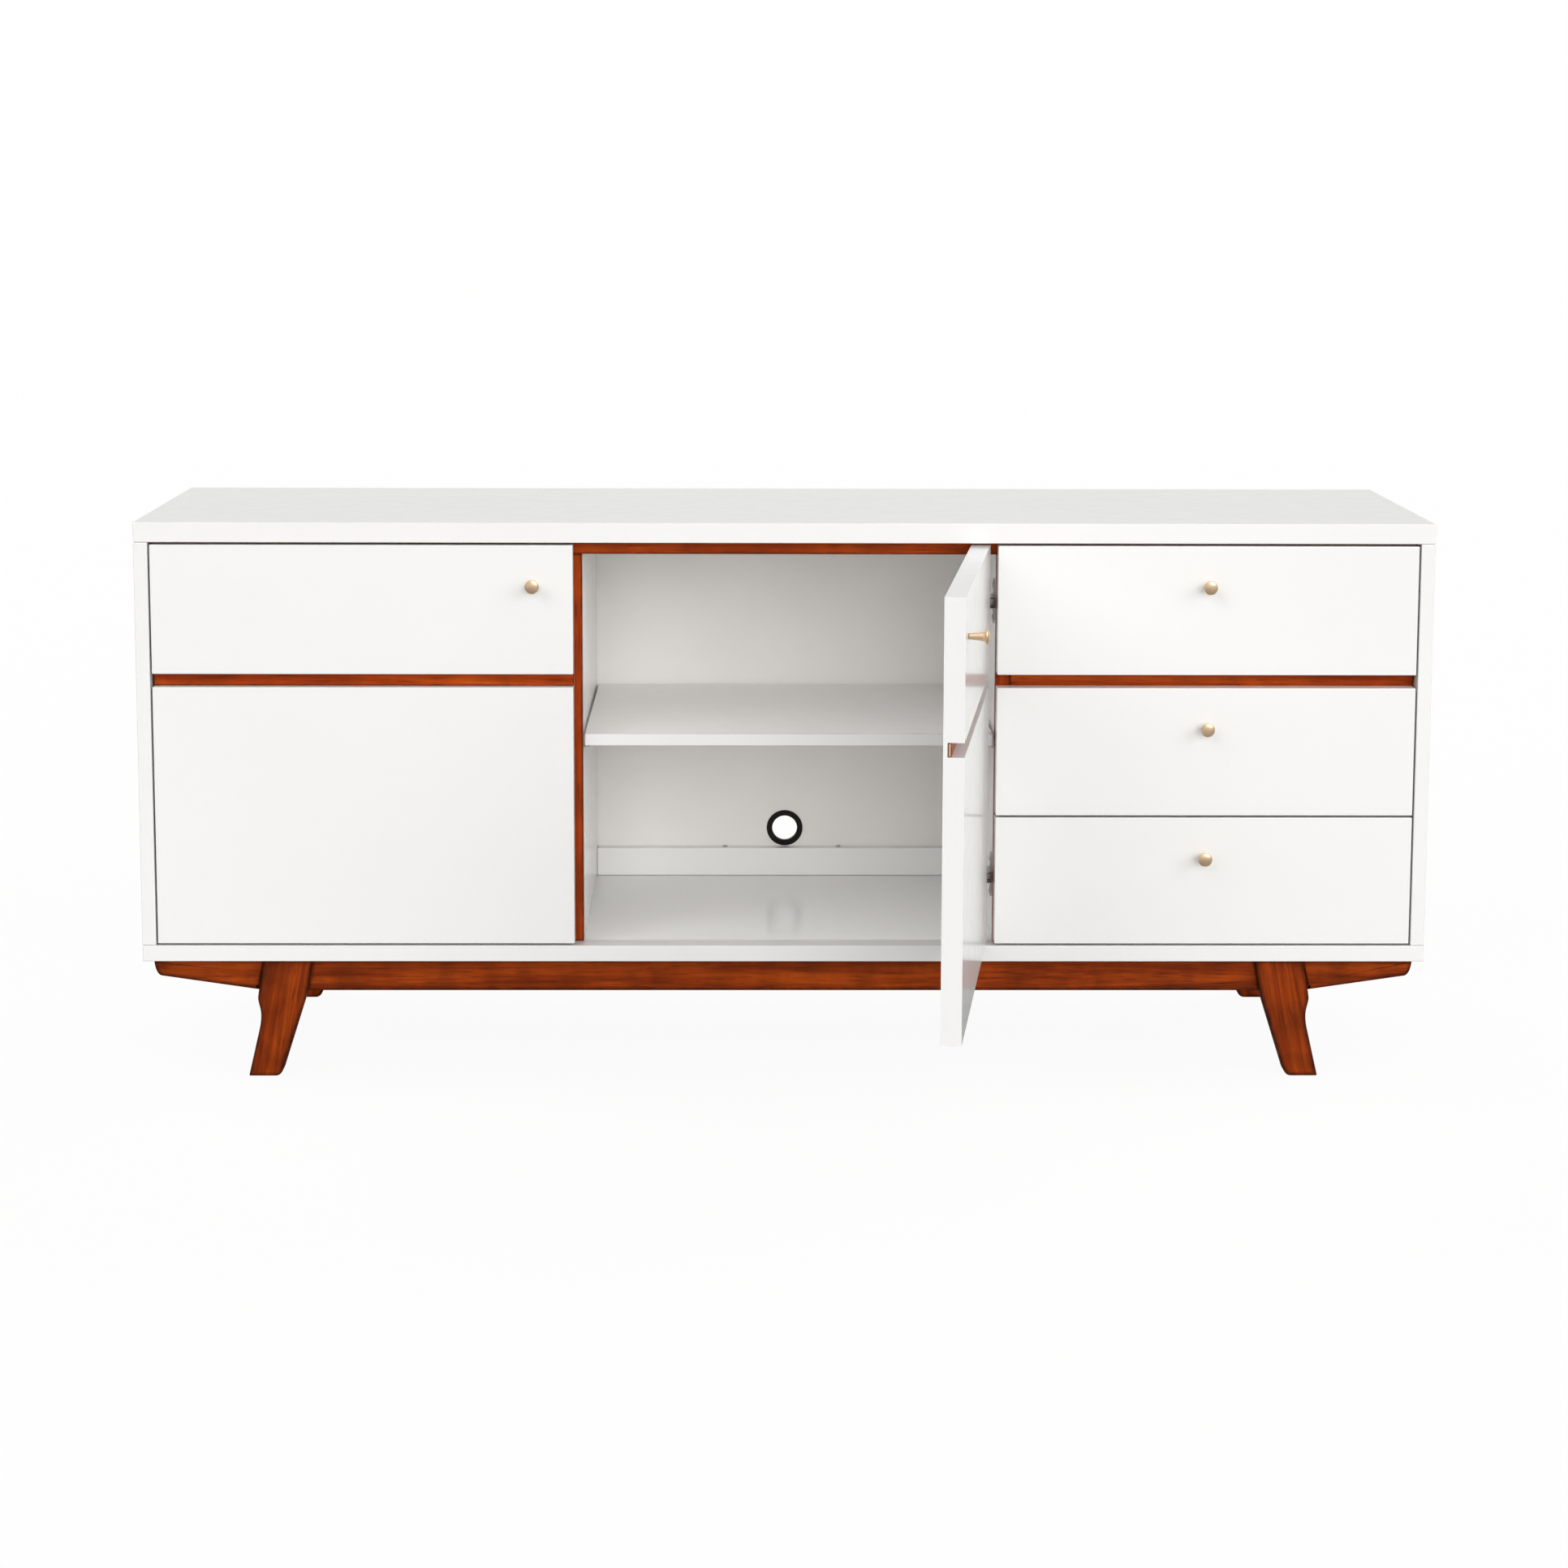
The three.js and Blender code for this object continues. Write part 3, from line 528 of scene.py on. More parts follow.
def plated(name, colour, roughness, spangle):
    """Plated metal: a satin tone that varies with the plating, over fine scratches."""
    finish, tree, shader, place = new_finish(name)
    clouds = add_node(tree, "ShaderNodeTexNoise", {
        "Vector": place, "Scale": spangle, "Detail": 3.0,
    })
    tint(tree, shader, clouds, [part * PLATING_SHADE for part in colour] + [1], [*colour, 1])
    dull(tree, shader, clouds, roughness + 0.06, roughness - 0.04)
    shader.inputs["Metallic"].default_value = 1.0
    fine = add_node(tree, "ShaderNodeTexNoise", {"Vector": place, "Scale": 1400.0, "Detail": 2.0})
    emboss(tree, shader, fine, strength=0.1, depth=0.0001)
    return finish


SCREW_HEADS = screw_heads()
ZINC = plated("zinc_plate", ZINC_GREY, roughness=0.36, spangle=90.0)
NICKEL = plated("nickel_plate", NICKEL_GREY, roughness=0.26, spangle=60.0)


def drive_screws(name, places, radius, height, body, finish, slot, seed):
    """One mesh of screw heads on one body. places holds (seat point, outward) pairs."""
    seats = bpy.data.meshes.new(name)
    seats.from_pydata([tuple(seat) for seat, outward in places], [], [])
    outward = seats.attributes.new("outward", "FLOAT_VECTOR", "POINT")
    outward.data.foreach_set("vector", [part for seat, way in places for part in way])
    heads = laid_out(seats, SCREW_HEADS, {
        "Head radius": radius, "Head height": height, "Recess width": radius * RECESS_WIDTH,
        "Seed": seed, "Finish": finish,
    })
    return hand_over(heads, finish, slot, body)


# ---------- back panel ----------
# A thin board faced with white foil, let in between the case boards and screwed from
# behind into both dividers and into the rail on the bay's floor.
BACK_SCREW_RADIUS = 0.0034
BACK_SCREW_HEIGHT = 0.0010
BACK_SCREW_ROWS = 5
BACK_SCREW_MARGIN = 0.035
BACK_SCREWS_ALONG_RAIL = (0.15, 0.38, 0.62, 0.85)
FOIL_EDGE = 0.0004
FOIL_WHITE = (0.825, 0.805, 0.778, 1)
FOIL_DEEP = (0.790, 0.768, 0.738, 1)


def foil_board():
    finish, tree, shader, place = new_finish("foil_faced_board")
    cloud = add_node(tree, "ShaderNodeTexNoise", {"Vector": place, "Scale": 5.0, "Detail": 4.0})
    tint(tree, shader, cloud, FOIL_DEEP, FOIL_WHITE)
    fibre = add_node(tree, "ShaderNodeTexNoise", {"Vector": place, "Scale": 380.0, "Detail": 3.0})
    dull(tree, shader, fibre, 0.38, 0.5)
    emboss(tree, shader, fibre, strength=0.08, depth=0.0002)
    return finish


hand_over(eased("back_panel", FOIL_EDGE), foil_board(), "back_board", "case", "back_panel")
panel_low, panel_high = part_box("back_panel")
rail_low, rail_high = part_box("rear_rail")
back_seats = []
for divider in ("divider_left", "divider_right"):
    low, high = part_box(divider)
    for row in range(BACK_SCREW_ROWS):
        z = panel_low.z + BACK_SCREW_MARGIN + row / (BACK_SCREW_ROWS - 1) * (
            panel_high.z - panel_low.z - 2 * BACK_SCREW_MARGIN)
        back_seats.append(((low.x + high.x) / 2, z))
for share in BACK_SCREWS_ALONG_RAIL:
    back_seats.append((rail_low.x + share * (rail_high.x - rail_low.x),
                       (rail_low.z + rail_high.z) / 2))
drive_screws("back_panel_screws",
             [(Vector((x, panel_high.y, z)), Vector((0, 1, 0))) for x, z in back_seats],
             BACK_SCREW_RADIUS, BACK_SCREW_HEIGHT, "case", ZINC, "zinc_steel", seed=3)


# ---------- cable grommet ----------
# A moulded black plastic ring with a rounded lip, pressed into the panel's cable hole
# from the bay's side. Its sleeve reaches just past the panel's rear face.
GROMMET_STEPS = 72
SLEEVE_SET_IN = 0.003
BORE_SET_IN = 0.0077
LIP_THICKNESS = 0.002
LIP_ROUND = 0.0014
LIP_CHAMFER = 0.0004
BORE_ROUND = 0.0009
SLEEVE_CHAMFER = 0.0006
PLASTIC_BLACK = (0.0030, 0.0024, 0.0020, 1)
PLASTIC_WORN = (0.0075, 0.0060, 0.0050, 1)
TINY = 1e-7


def lathe(profile, steps, centre, axis, name):
    """Turns a closed profile of (radius, height) points round an axis from a centre."""
    shape = bmesh.new()
    upright = axis.to_track_quat("Z", "Y").to_matrix()
    rings = []
    for radius, height in profile:
        if radius < TINY:
            rings.append([shape.verts.new(centre + upright @ Vector((0, 0, height)))])
            continue
        rings.append([shape.verts.new(centre + upright @ Vector((
            radius * cos(2 * pi * step / steps), radius * sin(2 * pi * step / steps), height)))
            for step in range(steps)])
    closed = profile[0][0] > TINY
    pairs = list(zip(rings, rings[1:])) + ([(rings[-1], rings[0])] if closed else [])
    for lower, upper in pairs:
        for step in range(steps):
            after = (step + 1) % steps
            corners = [lower[step % len(lower)], lower[after % len(lower)],
                       upper[after % len(upper)], upper[step % len(upper)]]
            shape.faces.new(list(dict.fromkeys(corners)))
    bmesh.ops.recalc_face_normals(shape, faces=shape.faces)
    return new_piece(name, shape)


def arc(centre, radius, start, end, steps):
    """Points on a round corner, from one angle to another, in degrees."""
    turns = [radians(start + (end - start) * step / steps) for step in range(steps + 1)]
    return [(centre[0] + radius * cos(turn), centre[1] + radius * sin(turn)) for turn in turns]


def black_plastic():
    finish, tree, shader, place = new_finish("black_plastic")
    grain = add_node(tree, "ShaderNodeTexNoise", {"Vector": place, "Scale": 900.0, "Detail": 3.0})
    tint(tree, shader, grain, PLASTIC_BLACK, PLASTIC_WORN)
    dull(tree, shader, grain, 0.46, 0.60)
    shader.inputs["Specular IOR Level"].default_value = 0.25
    emboss(tree, shader, grain, strength=0.25, depth=0.0002)
    return finish


ring_low, ring_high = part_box("cable_grommet")
ring_outer = (ring_high.x - ring_low.x) / 2
ring_depth = ring_high.y - ring_low.y
ring_sleeve, ring_bore = ring_outer - SLEEVE_SET_IN, ring_outer - BORE_SET_IN
ring_profile = [
    (ring_bore + SLEEVE_CHAMFER, 0.0), (ring_sleeve - SLEEVE_CHAMFER, 0.0),
    (ring_sleeve, SLEEVE_CHAMFER), (ring_sleeve, ring_depth - LIP_THICKNESS),
    (ring_outer - LIP_CHAMFER, ring_depth - LIP_THICKNESS),
    *arc((ring_outer - LIP_ROUND, ring_depth - LIP_ROUND), LIP_ROUND, -10, 90, 6),
    *arc((ring_bore + BORE_ROUND, ring_depth - BORE_ROUND), BORE_ROUND, 90, 180, 6),
    (ring_bore, SLEEVE_CHAMFER),
]
grommet = lathe(
    ring_profile, GROMMET_STEPS,
    Vector(((ring_low.x + ring_high.x) / 2, ring_high.y, (ring_low.z + ring_high.z) / 2)),
    Vector((0, -1, 0)), "cable_grommet_moulded")
hand_over(grommet, black_plastic(), "black_plastic", "case", "cable_grommet")


# ---------- centre bay ----------
# A loose lacquered shelf lies on four steel pegs, and a lacquered rail is screwed down
# along the back of the bay's floor, with its two screw heads on top.
PEG_RADIUS = 0.0025
PEG_REACH = 0.009
PEG_SET_IN = 0.032
PEG_COLLAR = 0.0013
PEG_COLLAR_FROM = 0.0002
PEG_COLLAR_TO = 0.0012
PEG_ROUND = 0.0008
PEG_BELOW_SHELF = 0.0014
PEG_STEPS = 20
RAIL_SCREW_APART = 0.158
RAIL_SCREWS_ASIDE = -0.004
RAIL_SCREW_FROM_REAR = 0.006
RAIL_SCREW_RADIUS = 0.0042
RAIL_SCREW_HEIGHT = 0.0016

for node in ("shelf", "rear_rail"):
    hand_over(eased(node, BOARD_EDGE), WHITE, "white_lacquer", "case", node)

shelf_low, shelf_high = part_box("shelf")
bay_left, bay_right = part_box("divider_left")[1].x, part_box("divider_right")[0].x
for hand, wall, inward in (("left", bay_left, 1), ("right", bay_right, -1)):
    for row, y in (("front", shelf_low.y + PEG_SET_IN), ("rear", shelf_high.y - PEG_SET_IN)):
        peg = lathe([
            (0, 0), (PEG_RADIUS, 0), (PEG_RADIUS, PEG_COLLAR_FROM),
            (PEG_RADIUS + PEG_COLLAR, PEG_COLLAR_FROM), (PEG_RADIUS + PEG_COLLAR, PEG_COLLAR_TO),
            (PEG_RADIUS, PEG_COLLAR_TO),
            *arc((PEG_RADIUS - PEG_ROUND, PEG_REACH - PEG_ROUND), PEG_ROUND, 0, 90, 3),
            (0, PEG_REACH),
        ], PEG_STEPS, Vector((wall, y, shelf_low.z - PEG_RADIUS - PEG_BELOW_SHELF)),
            Vector((inward, 0, 0)), f"shelf_peg_{row}_{hand}")
        hand_over(peg, NICKEL, "nickel", "case")

rail_middle = (rail_low.x + rail_high.x) / 2 + RAIL_SCREWS_ASIDE
rail_seats = [(Vector((rail_middle + side * RAIL_SCREW_APART / 2,
                       rail_high.y - RAIL_SCREW_FROM_REAR, rail_high.z)), Vector((0, 0, 1)))
              for side in (-1, 1)]
drive_screws("rear_rail_screws", rail_seats, RAIL_SCREW_RADIUS, RAIL_SCREW_HEIGHT, "case",
             ZINC, "zinc_steel", seed=5)


# ---------- base ----------
# Two long stained beams with tapered, round-nosed ends carry the case. Four splayed legs
# are housed halfway into them, and a cross rail joins the beams near each pair of legs.
BASE_STAIN = ((0.055, 0.0080, 0.0008, 1), (0.225, 0.0290, 0.0018, 1), (0.430, 0.0680, 0.0048, 1))
BASE_EDGE = 0.0016
# the base's darker edges: partly glazing stain, partly painted shade from the case above
BASE_GLAZE_AND_SHADE = 0.0045
LEG_SPLAY = radians(11.7)

BEAM_WOOD = stained_wood("base_wood_beam", BASE_STAIN, "x")
RAIL_WOOD = stained_wood("base_wood_rail", BASE_STAIN, "y")
LEG_WOOD = {
    "left": stained_wood("base_wood_leg_left", BASE_STAIN, "z", (0, -LEG_SPLAY, 0)),
    "right": stained_wood("base_wood_leg_right", BASE_STAIN, "z", (0, LEG_SPLAY, 0)),
}
for row in ("front", "rear"):
    legs = [f"leg_{row}_{hand}" for hand in LEG_WOOD]
    beam = f"{row}_beam"
    hand_over(eased(beam, BASE_EDGE, BASE_GLAZE_AND_SHADE, sharp_at=legs),
              BEAM_WOOD, "stained_wood", "case", beam)
    for hand, wood in LEG_WOOD.items():
        leg = f"leg_{row}_{hand}"
        hand_over(eased(leg, BASE_EDGE, BASE_GLAZE_AND_SHADE), wood, "stained_wood", "case", leg)
for hand in LEG_WOOD:
    rail = f"cross_rail_{hand}"
    hand_over(eased(rail, BASE_EDGE, BASE_GLAZE_AND_SHADE), RAIL_WOOD, "stained_wood", "case", rail)


# ---------- doors ----------
# Each door is one thick lacquered slab with a groove routed across its face, level with
# the rail between the drawers, and a stained strip glued in the bottom of the groove.
# The centre door stands open, so what is drawn for a shut door is turned about its pivot.
# how far in the inlay's darker edges reach: glazing stain and painted shade
INLAY_GLAZE_AND_SHADE = 0.0009
FACES_END = 0.9
pivots = {joint["child"]: joint for joint in frame["joints"] if joint["type"] == "hinge"}


def opened(body):
    """The turn that carries a shut door's pieces to where the door stands at rest."""
    pivot = Matrix.Translation(pivots[body]["pos_m"])
    shut_at = pivots[body]["range_deg"][0]
    turn = Matrix.Rotation(radians(-shut_at), 4, Vector(pivots[body]["axis"]))
    return pivot @ turn @ pivot.inverted()


def shut_box(node):
    """The lowest and highest corners that a door's CAD node has while the door is shut."""
    back = opened(body_of[node]).inverted()
    points = [back @ vert.co for vert in nodes[node].data.vertices]
    return (Vector([min(point[i] for point in points) for i in range(3)]),
            Vector([max(point[i] for point in points) for i in range(3)]))


def bare_ends(piece, along):
    """Marks the end faces of a strip, which were sawn after the wood was stained."""
    bare = piece.data.attributes.new("bare", "FLOAT", "FACE")
    for face in piece.data.polygons:
        bare.data[face.index].value = abs(face.normal.dot(along)) > FACES_END
    return piece


door_turn = radians(-pivots["center_door"]["range_deg"][0])
INLAY_WOOD = {
    "left": FRAME_WOOD["x"],
    "center": stained_wood("frame_wood_center_inlay", FRAME_STAIN, "x", (0, 0, -door_turn)),
}
for name, wood in INLAY_WOOD.items():
    body = f"{name}_door"
    hand_over(eased(f"door_{name}", BOARD_EDGE), WHITE, "white_lacquer", body, f"door_{name}")
    along = opened(body).to_3x3() @ Vector((1, 0, 0))
    inlay = bare_ends(eased(f"inlay_{name}", FRAME_EDGE, INLAY_GLAZE_AND_SHADE), along)
    hand_over(inlay, wood, "stained_wood", body, f"inlay_{name}")


# ---------- hinges ----------
# Concealed steel hinges, nickel plated: a pressed cup is let into the door's back and
# screwed through its two ears, and a cranked arm is clipped to a winged plate that is
# screwed to the upright. Two larger screws on the arm set the door's depth and side gap.
CUP_STEPS = 96
CUP_SHEET = 0.0012
CUP_OUTER_ROUND = 0.003
CUP_INNER_ROUND = 0.002
CUP_OUTER_CHAMFER = (0.0004, 0.0006)
CUP_INNER_CHAMFER = (0.0003, 0.0005)
EAR_HALF_WIDTH = 0.012
EAR_ROUND = 0.007
EAR_SCREW_SET_IN = 0.0055
FLANGE_LAP = 0.0002
HINGE_SCREW_RADIUS = 0.0038
HINGE_SCREW_HEIGHT = 0.0014
PRESSED_EDGE = 0.0003
ARM_HALF_WIDTH = 0.0065
ARM_LENGTH = 0.056
ARM_RUN = 0.043
ARM_REACH = 0.026
ARM_BACK = 0.011
ARM_TIP = 0.006
ARM_NOSE = 0.007
ARM_BEND = 0.0012
ARM_TAIL_ROUND = 0.003
ARM_CRANK = 0.002
ARM_OFF_WALL = 0.0003
ARM_THROAT = ((0.016, 0.0045), (0.009, 0.008))
PLATE_SHEET = 0.0016
PLATE_ROUND = 0.008
PLATE_HALF_HEIGHT = 0.029
PLATE_OFF_WALL = 0.0001
PLATE_BEHIND_MIDDLE = 0.0075
PLATE_SCREW_HEIGHT = 0.0013
SADDLE_HALF_LENGTH = 0.013
SADDLE_EDGE = 0.0008
SADDLE_CLEAR = 0.0002
SADDLE_BELOW_ARM = 0.0003
PIN_RADIUS = 0.0015
PIN_ROUND = 0.0003
PIN_SET_IN = 0.0035
PIN_PROUD = 0.0002
PIN_STEPS = 16
SET_SCREW_RADIUS = 0.0031
SET_SCREW_HEIGHT = 0.0012
SET_SCREWS_ALONG = (-0.011, 0.010)


def ear_outline(turn, cup_radius, ear_reach):
    """How far the cup's flange reaches from its middle at an angle from the x axis."""
    across, along = abs(cos(turn)), abs(sin(turn))
    corner = (EAR_HALF_WIDTH - EAR_ROUND, ear_reach - EAR_ROUND)
    flat = min(EAR_HALF_WIDTH / max(across, TINY), ear_reach / max(along, TINY))
    toward = across * corner[0] + along * corner[1]
    inside = hypot(*corner) ** 2 - EAR_ROUND ** 2
    if flat * across > corner[0] and flat * along > corner[1]:
        flat = toward + max(toward ** 2 - inside, 0) ** 0.5
    return max(flat, cup_radius)


def hinge_flange(name, centre, low_y, high_y, mouth, cup_radius, ear_reach, carry):
    shape = bmesh.new()
    loops = []
    for y, reach in ((low_y, None), (high_y, None), (high_y, mouth), (low_y, mouth)):
        loop = []
        for step in range(CUP_STEPS):
            turn = 2 * pi * (step + 0.5) / CUP_STEPS
            far = reach or ear_outline(turn, cup_radius, ear_reach)
            loop.append(shape.verts.new(carry @ Vector((
                centre.x + far * cos(turn), y, centre.z + far * sin(turn)))))
        loops.append(loop)
    for first, second in zip(loops, loops[1:] + loops[:1]):
        for step in range(CUP_STEPS):
            after = (step + 1) % CUP_STEPS
            shape.faces.new((first[step], first[after], second[after], second[step]))
    bmesh.ops.recalc_face_normals(shape, faces=shape.faces)
    sharp = [edge for edge in shape.edges if edge.calc_face_angle(0) > SHARP_ANGLE]
    bmesh.ops.bevel(shape, geom=sharp, offset=PRESSED_EDGE, segments=2, profile=0.5,
                    affect="EDGES")
    return true_faces(new_piece(name, shape))


def hinge_cup(door, level):
    node = f"hinge_cup_{door}_{level}"
    body = body_of[node]
    carry = opened(body)
    low, high = shut_box(node)
    radius, ear_reach = (high.x - low.x) / 2, (high.z - low.z) / 2
    middle = Vector(((low.x + high.x) / 2, high.y, (low.z + high.z) / 2))
    inner, depth = radius - CUP_SHEET, high.y - low.y
    profile = [
        (0, 0), *arc((radius - CUP_OUTER_ROUND, CUP_OUTER_ROUND), CUP_OUTER_ROUND, -90, 0, 5),
        (radius, depth - CUP_OUTER_CHAMFER[1]), (radius - CUP_OUTER_CHAMFER[0], depth),
        (inner + CUP_INNER_CHAMFER[0], depth), (inner, depth - CUP_INNER_CHAMFER[1]),
        *arc((inner - CUP_INNER_ROUND, CUP_INNER_ROUND + CUP_SHEET), CUP_INNER_ROUND, 0, -90, 5),
        (0, CUP_SHEET),
    ]
    base = carry @ Vector((middle.x, low.y, middle.z))
    out = (carry.to_3x3() @ Vector((0, 1, 0))).normalized()
    cup = lathe(profile, CUP_STEPS // 2, base, out, f"{node}_pressed")
    hand_over(cup, NICKEL, "nickel", body, node)
    flange = hinge_flange(f"{node}_flange", middle, high.y - CUP_SHEET, high.y,
                          inner + FLANGE_LAP, radius + FLANGE_LAP, ear_reach, carry)
    hand_over(flange, NICKEL, "nickel", body)
    ears = [(carry @ (middle + Vector((0, 0, side * (ear_reach - EAR_SCREW_SET_IN)))), out)
            for side in (-1, 1)]
    drive_screws(f"{node}_screws", ears, HINGE_SCREW_RADIUS, HINGE_SCREW_HEIGHT, body,
                 NICKEL, "nickel", seed=7)


def run_outline(name, outline, along, start, end, edge):
    """A closed outline, run along one axis. Its points hold the other two axes in turn."""
    shape = bmesh.new()

    def corner(point, reach):
        place = list(point)
        place.insert(along, reach)
        return shape.verts.new(place)

    caps = [[corner(point, reach) for point in outline] for reach in (start, end)]
    for step in range(len(outline)):
        after = (step + 1) % len(outline)
        shape.faces.new((caps[0][step], caps[0][after], caps[1][after], caps[1][step]))
    for cap in caps:
        shape.faces.new(cap)
    bmesh.ops.recalc_face_normals(shape, faces=shape.faces)
    sharp = [side for side in shape.edges if side.calc_face_angle(0) > SHARP_ANGLE]
    bmesh.ops.bevel(shape, geom=sharp, offset=edge, segments=2, profile=0.5, affect="EDGES")
    return true_faces(new_piece(name, shape))


def arm_channel(name, wall, away, front, middle_z):
    """The arm: one sheet bent to a channel, open to the upright and at its front end."""
    back = front + ARM_LENGTH
    run_start = back - ARM_RUN
    spine = [(ARM_BACK, back - ARM_TAIL_ROUND), (ARM_BACK, run_start + ARM_CRANK),
             (ARM_REACH, front + ARM_TIP), (ARM_REACH, front)]
    rest = [(ARM_REACH - ARM_NOSE, front),
            *[(reach, front + behind) for reach, behind in ARM_THROAT],
            (ARM_OFF_WALL, run_start), (ARM_OFF_WALL, back), (ARM_BACK - ARM_TAIL_ROUND, back)]
    shape = bmesh.new()
    cheeks = [[shape.verts.new((wall + away * reach, y, middle_z + side * ARM_HALF_WIDTH))
               for reach, y in spine + rest] for side in (-1, 1)]
    for cheek in cheeks:
        shape.faces.new(cheek)
    bends = []
    for step in range(len(spine) - 1):
        web = shape.faces.new((cheeks[0][step], cheeks[0][step + 1],
                               cheeks[1][step + 1], cheeks[1][step]))
        bends += [edge for edge in web.edges if len(edge.link_faces) > 1]
    bmesh.ops.recalc_face_normals(shape, faces=shape.faces)
    if max(shape.faces, key=lambda face: face.calc_center_median().z).normal.z < 0:
        bmesh.ops.reverse_faces(shape, faces=shape.faces)
    bmesh.ops.bevel(shape, geom=list(set(bends)), offset=ARM_BEND, segments=3, profile=0.5,
                    affect="EDGES")
    piece = new_piece(name, shape)
    sheet = piece.modifiers.new("sheet", "SOLIDIFY")
    sheet.thickness = CUP_SHEET
    sheet.offset = -1
    sheet.use_even_offset = True
    return true_faces(piece)


def hinge_arm(door, level):
    node = f"hinge_arm_{door}_{level}"
    low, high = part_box(node)
    away = 1 if door == "left" else -1
    wall = low.x if away > 0 else high.x
    middle_z, plate_y = (low.z + high.z) / 2, (low.y + high.y) / 2 + PLATE_BEHIND_MIDDLE
    out = Vector((away, 0, 0))
    arm = arm_channel(f"{node}_channel", wall, away, low.y, middle_z)
    hand_over(arm, NICKEL, "nickel", "case", node)

    reach = PLATE_HALF_HEIGHT - PLATE_ROUND
    wings = [*arc((plate_y, middle_z + reach), PLATE_ROUND, 0, 180, 12),
             *arc((plate_y, middle_z - reach), PLATE_ROUND, 180, 360, 12)]
    plate = run_outline(f"{node}_plate", wings, 0, wall + away * PLATE_OFF_WALL,
                        wall + away * PLATE_SHEET, PRESSED_EDGE)
    hand_over(plate, NICKEL, "nickel", "case")
    inner = ARM_HALF_WIDTH - CUP_SHEET - SADDLE_CLEAR
    saddle = [(plate_y + along * SADDLE_HALF_LENGTH, middle_z + up * inner)
              for along, up in ((-1, -1), (1, -1), (1, 1), (-1, 1))]
    block = run_outline(f"{node}_saddle", saddle, 0, wall + away * PLATE_SHEET,
                        wall + away * (ARM_BACK - CUP_SHEET - SADDLE_BELOW_ARM),
                        SADDLE_EDGE)
    hand_over(block, NICKEL, "nickel", "case")
    pin_length = 2 * (ARM_HALF_WIDTH + PIN_PROUD)
    pin = lathe([(0, 0), (PIN_RADIUS, 0),
                 *arc((PIN_RADIUS - PIN_ROUND, pin_length - PIN_ROUND), PIN_ROUND, 0, 90, 2),
                 (0, pin_length)], PIN_STEPS,
                Vector((wall + away * (ARM_REACH - PIN_SET_IN), low.y + PIN_SET_IN,
                        middle_z - pin_length / 2)), Vector((0, 0, 1)), f"{node}_pin")
    hand_over(pin, ZINC, "zinc_steel", "case")

    seats = [(Vector((wall + away * PLATE_SHEET, plate_y, middle_z + side * reach)), out)
             for side in (-1, 1)]
    drive_screws(f"{node}_plate_screws", seats, HINGE_SCREW_RADIUS, PLATE_SCREW_HEIGHT, "case",
                 NICKEL, "nickel", seed=11)
    sets = [(Vector((wall + away * ARM_BACK, plate_y + step, middle_z)), out)
            for step in SET_SCREWS_ALONG]
    drive_screws(f"{node}_set_screws", sets, SET_SCREW_RADIUS, SET_SCREW_HEIGHT, "case",
                 ZINC, "zinc_steel", seed=13)


for door in ("left", "center"):
    for level in ("lower", "upper"):
        hinge_cup(door, level)
        hinge_arm(door, level)


# ---------- knobs ----------
# Small turned knobs with a stem that flares into a mushroom head, plated in satin
# champagne. A bolt through the front holds each one.
CHAMPAGNE_PALE = (0.790, 0.590, 0.390, 1)
CHAMPAGNE_DEEP = (0.690, 0.495, 0.310, 1)
KNOB_STEPS = 64
KNOB_FOOT = 0.39
KNOB_NECK = 0.56
KNOB_RIM = 0.0009
KNOB_STEM = 0.60
KNOB_STEM_SWEEP = 1.4
KNOB_UNDERSIDE = 0.82


def champagne():
    finish, tree, shader, place = new_finish("champagne_plate")
    clouds = add_node(tree, "ShaderNodeTexNoise", {"Vector": place, "Scale": 120.0, "Detail": 3.0})
    tint(tree, shader, clouds, CHAMPAGNE_DEEP, CHAMPAGNE_PALE)
    dull(tree, shader, clouds, 0.34, 0.44)
    shader.inputs["Metallic"].default_value = 0.9
    blast = add_node(tree, "ShaderNodeTexNoise", {"Vector": place, "Scale": 2200.0, "Detail": 2.0})
    emboss(tree, shader, blast, strength=0.15, depth=0.0001)
    return finish


def knob(node, finish):
    body = body_of[node]
    carry = opened(body) if body in pivots else Matrix.Identity(4)
    low, high = shut_box(node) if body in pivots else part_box(node)
    length, head = high.y - low.y, (high.x - low.x) / 2
    foot, neck, brim = head * KNOB_FOOT, head * KNOB_NECK, head - KNOB_RIM
    waist, under = length * KNOB_STEM, length * KNOB_UNDERSIDE
    stem = [(foot + (neck - foot) * share ** KNOB_STEM_SWEEP, waist * share)
            for share in [step / 8 for step in range(9)]]
    flare = [(neck + (brim - neck) * (1 - cos(turn)), waist + (under - waist) * sin(turn))
             for turn in [radians(step * 10) for step in range(1, 9)]]
    rim = arc((brim, under + KNOB_RIM), KNOB_RIM, -90, 20, 6)
    edge, shoulder = rim[-1]
    crown = [(edge * cos(turn), shoulder + (length - shoulder) * sin(turn))
             for turn in [radians(step * 7.5) for step in range(1, 12)]]
    profile = [(0, 0), *stem, *flare, *rim, *crown, (0, length)]
    base = carry @ Vector(((low.x + high.x) / 2, high.y, (low.z + high.z) / 2))
    out = (carry.to_3x3() @ Vector((0, -1, 0))).normalized()
    return hand_over(lathe(profile, KNOB_STEPS, base, out, f"{node}_turned"), finish,
                     "champagne_metal", body, node)


CHAMPAGNE = champagne()
for node in [name for name in nodes if name.startswith("knob_")]:
    knob(node, CHAMPAGNE)


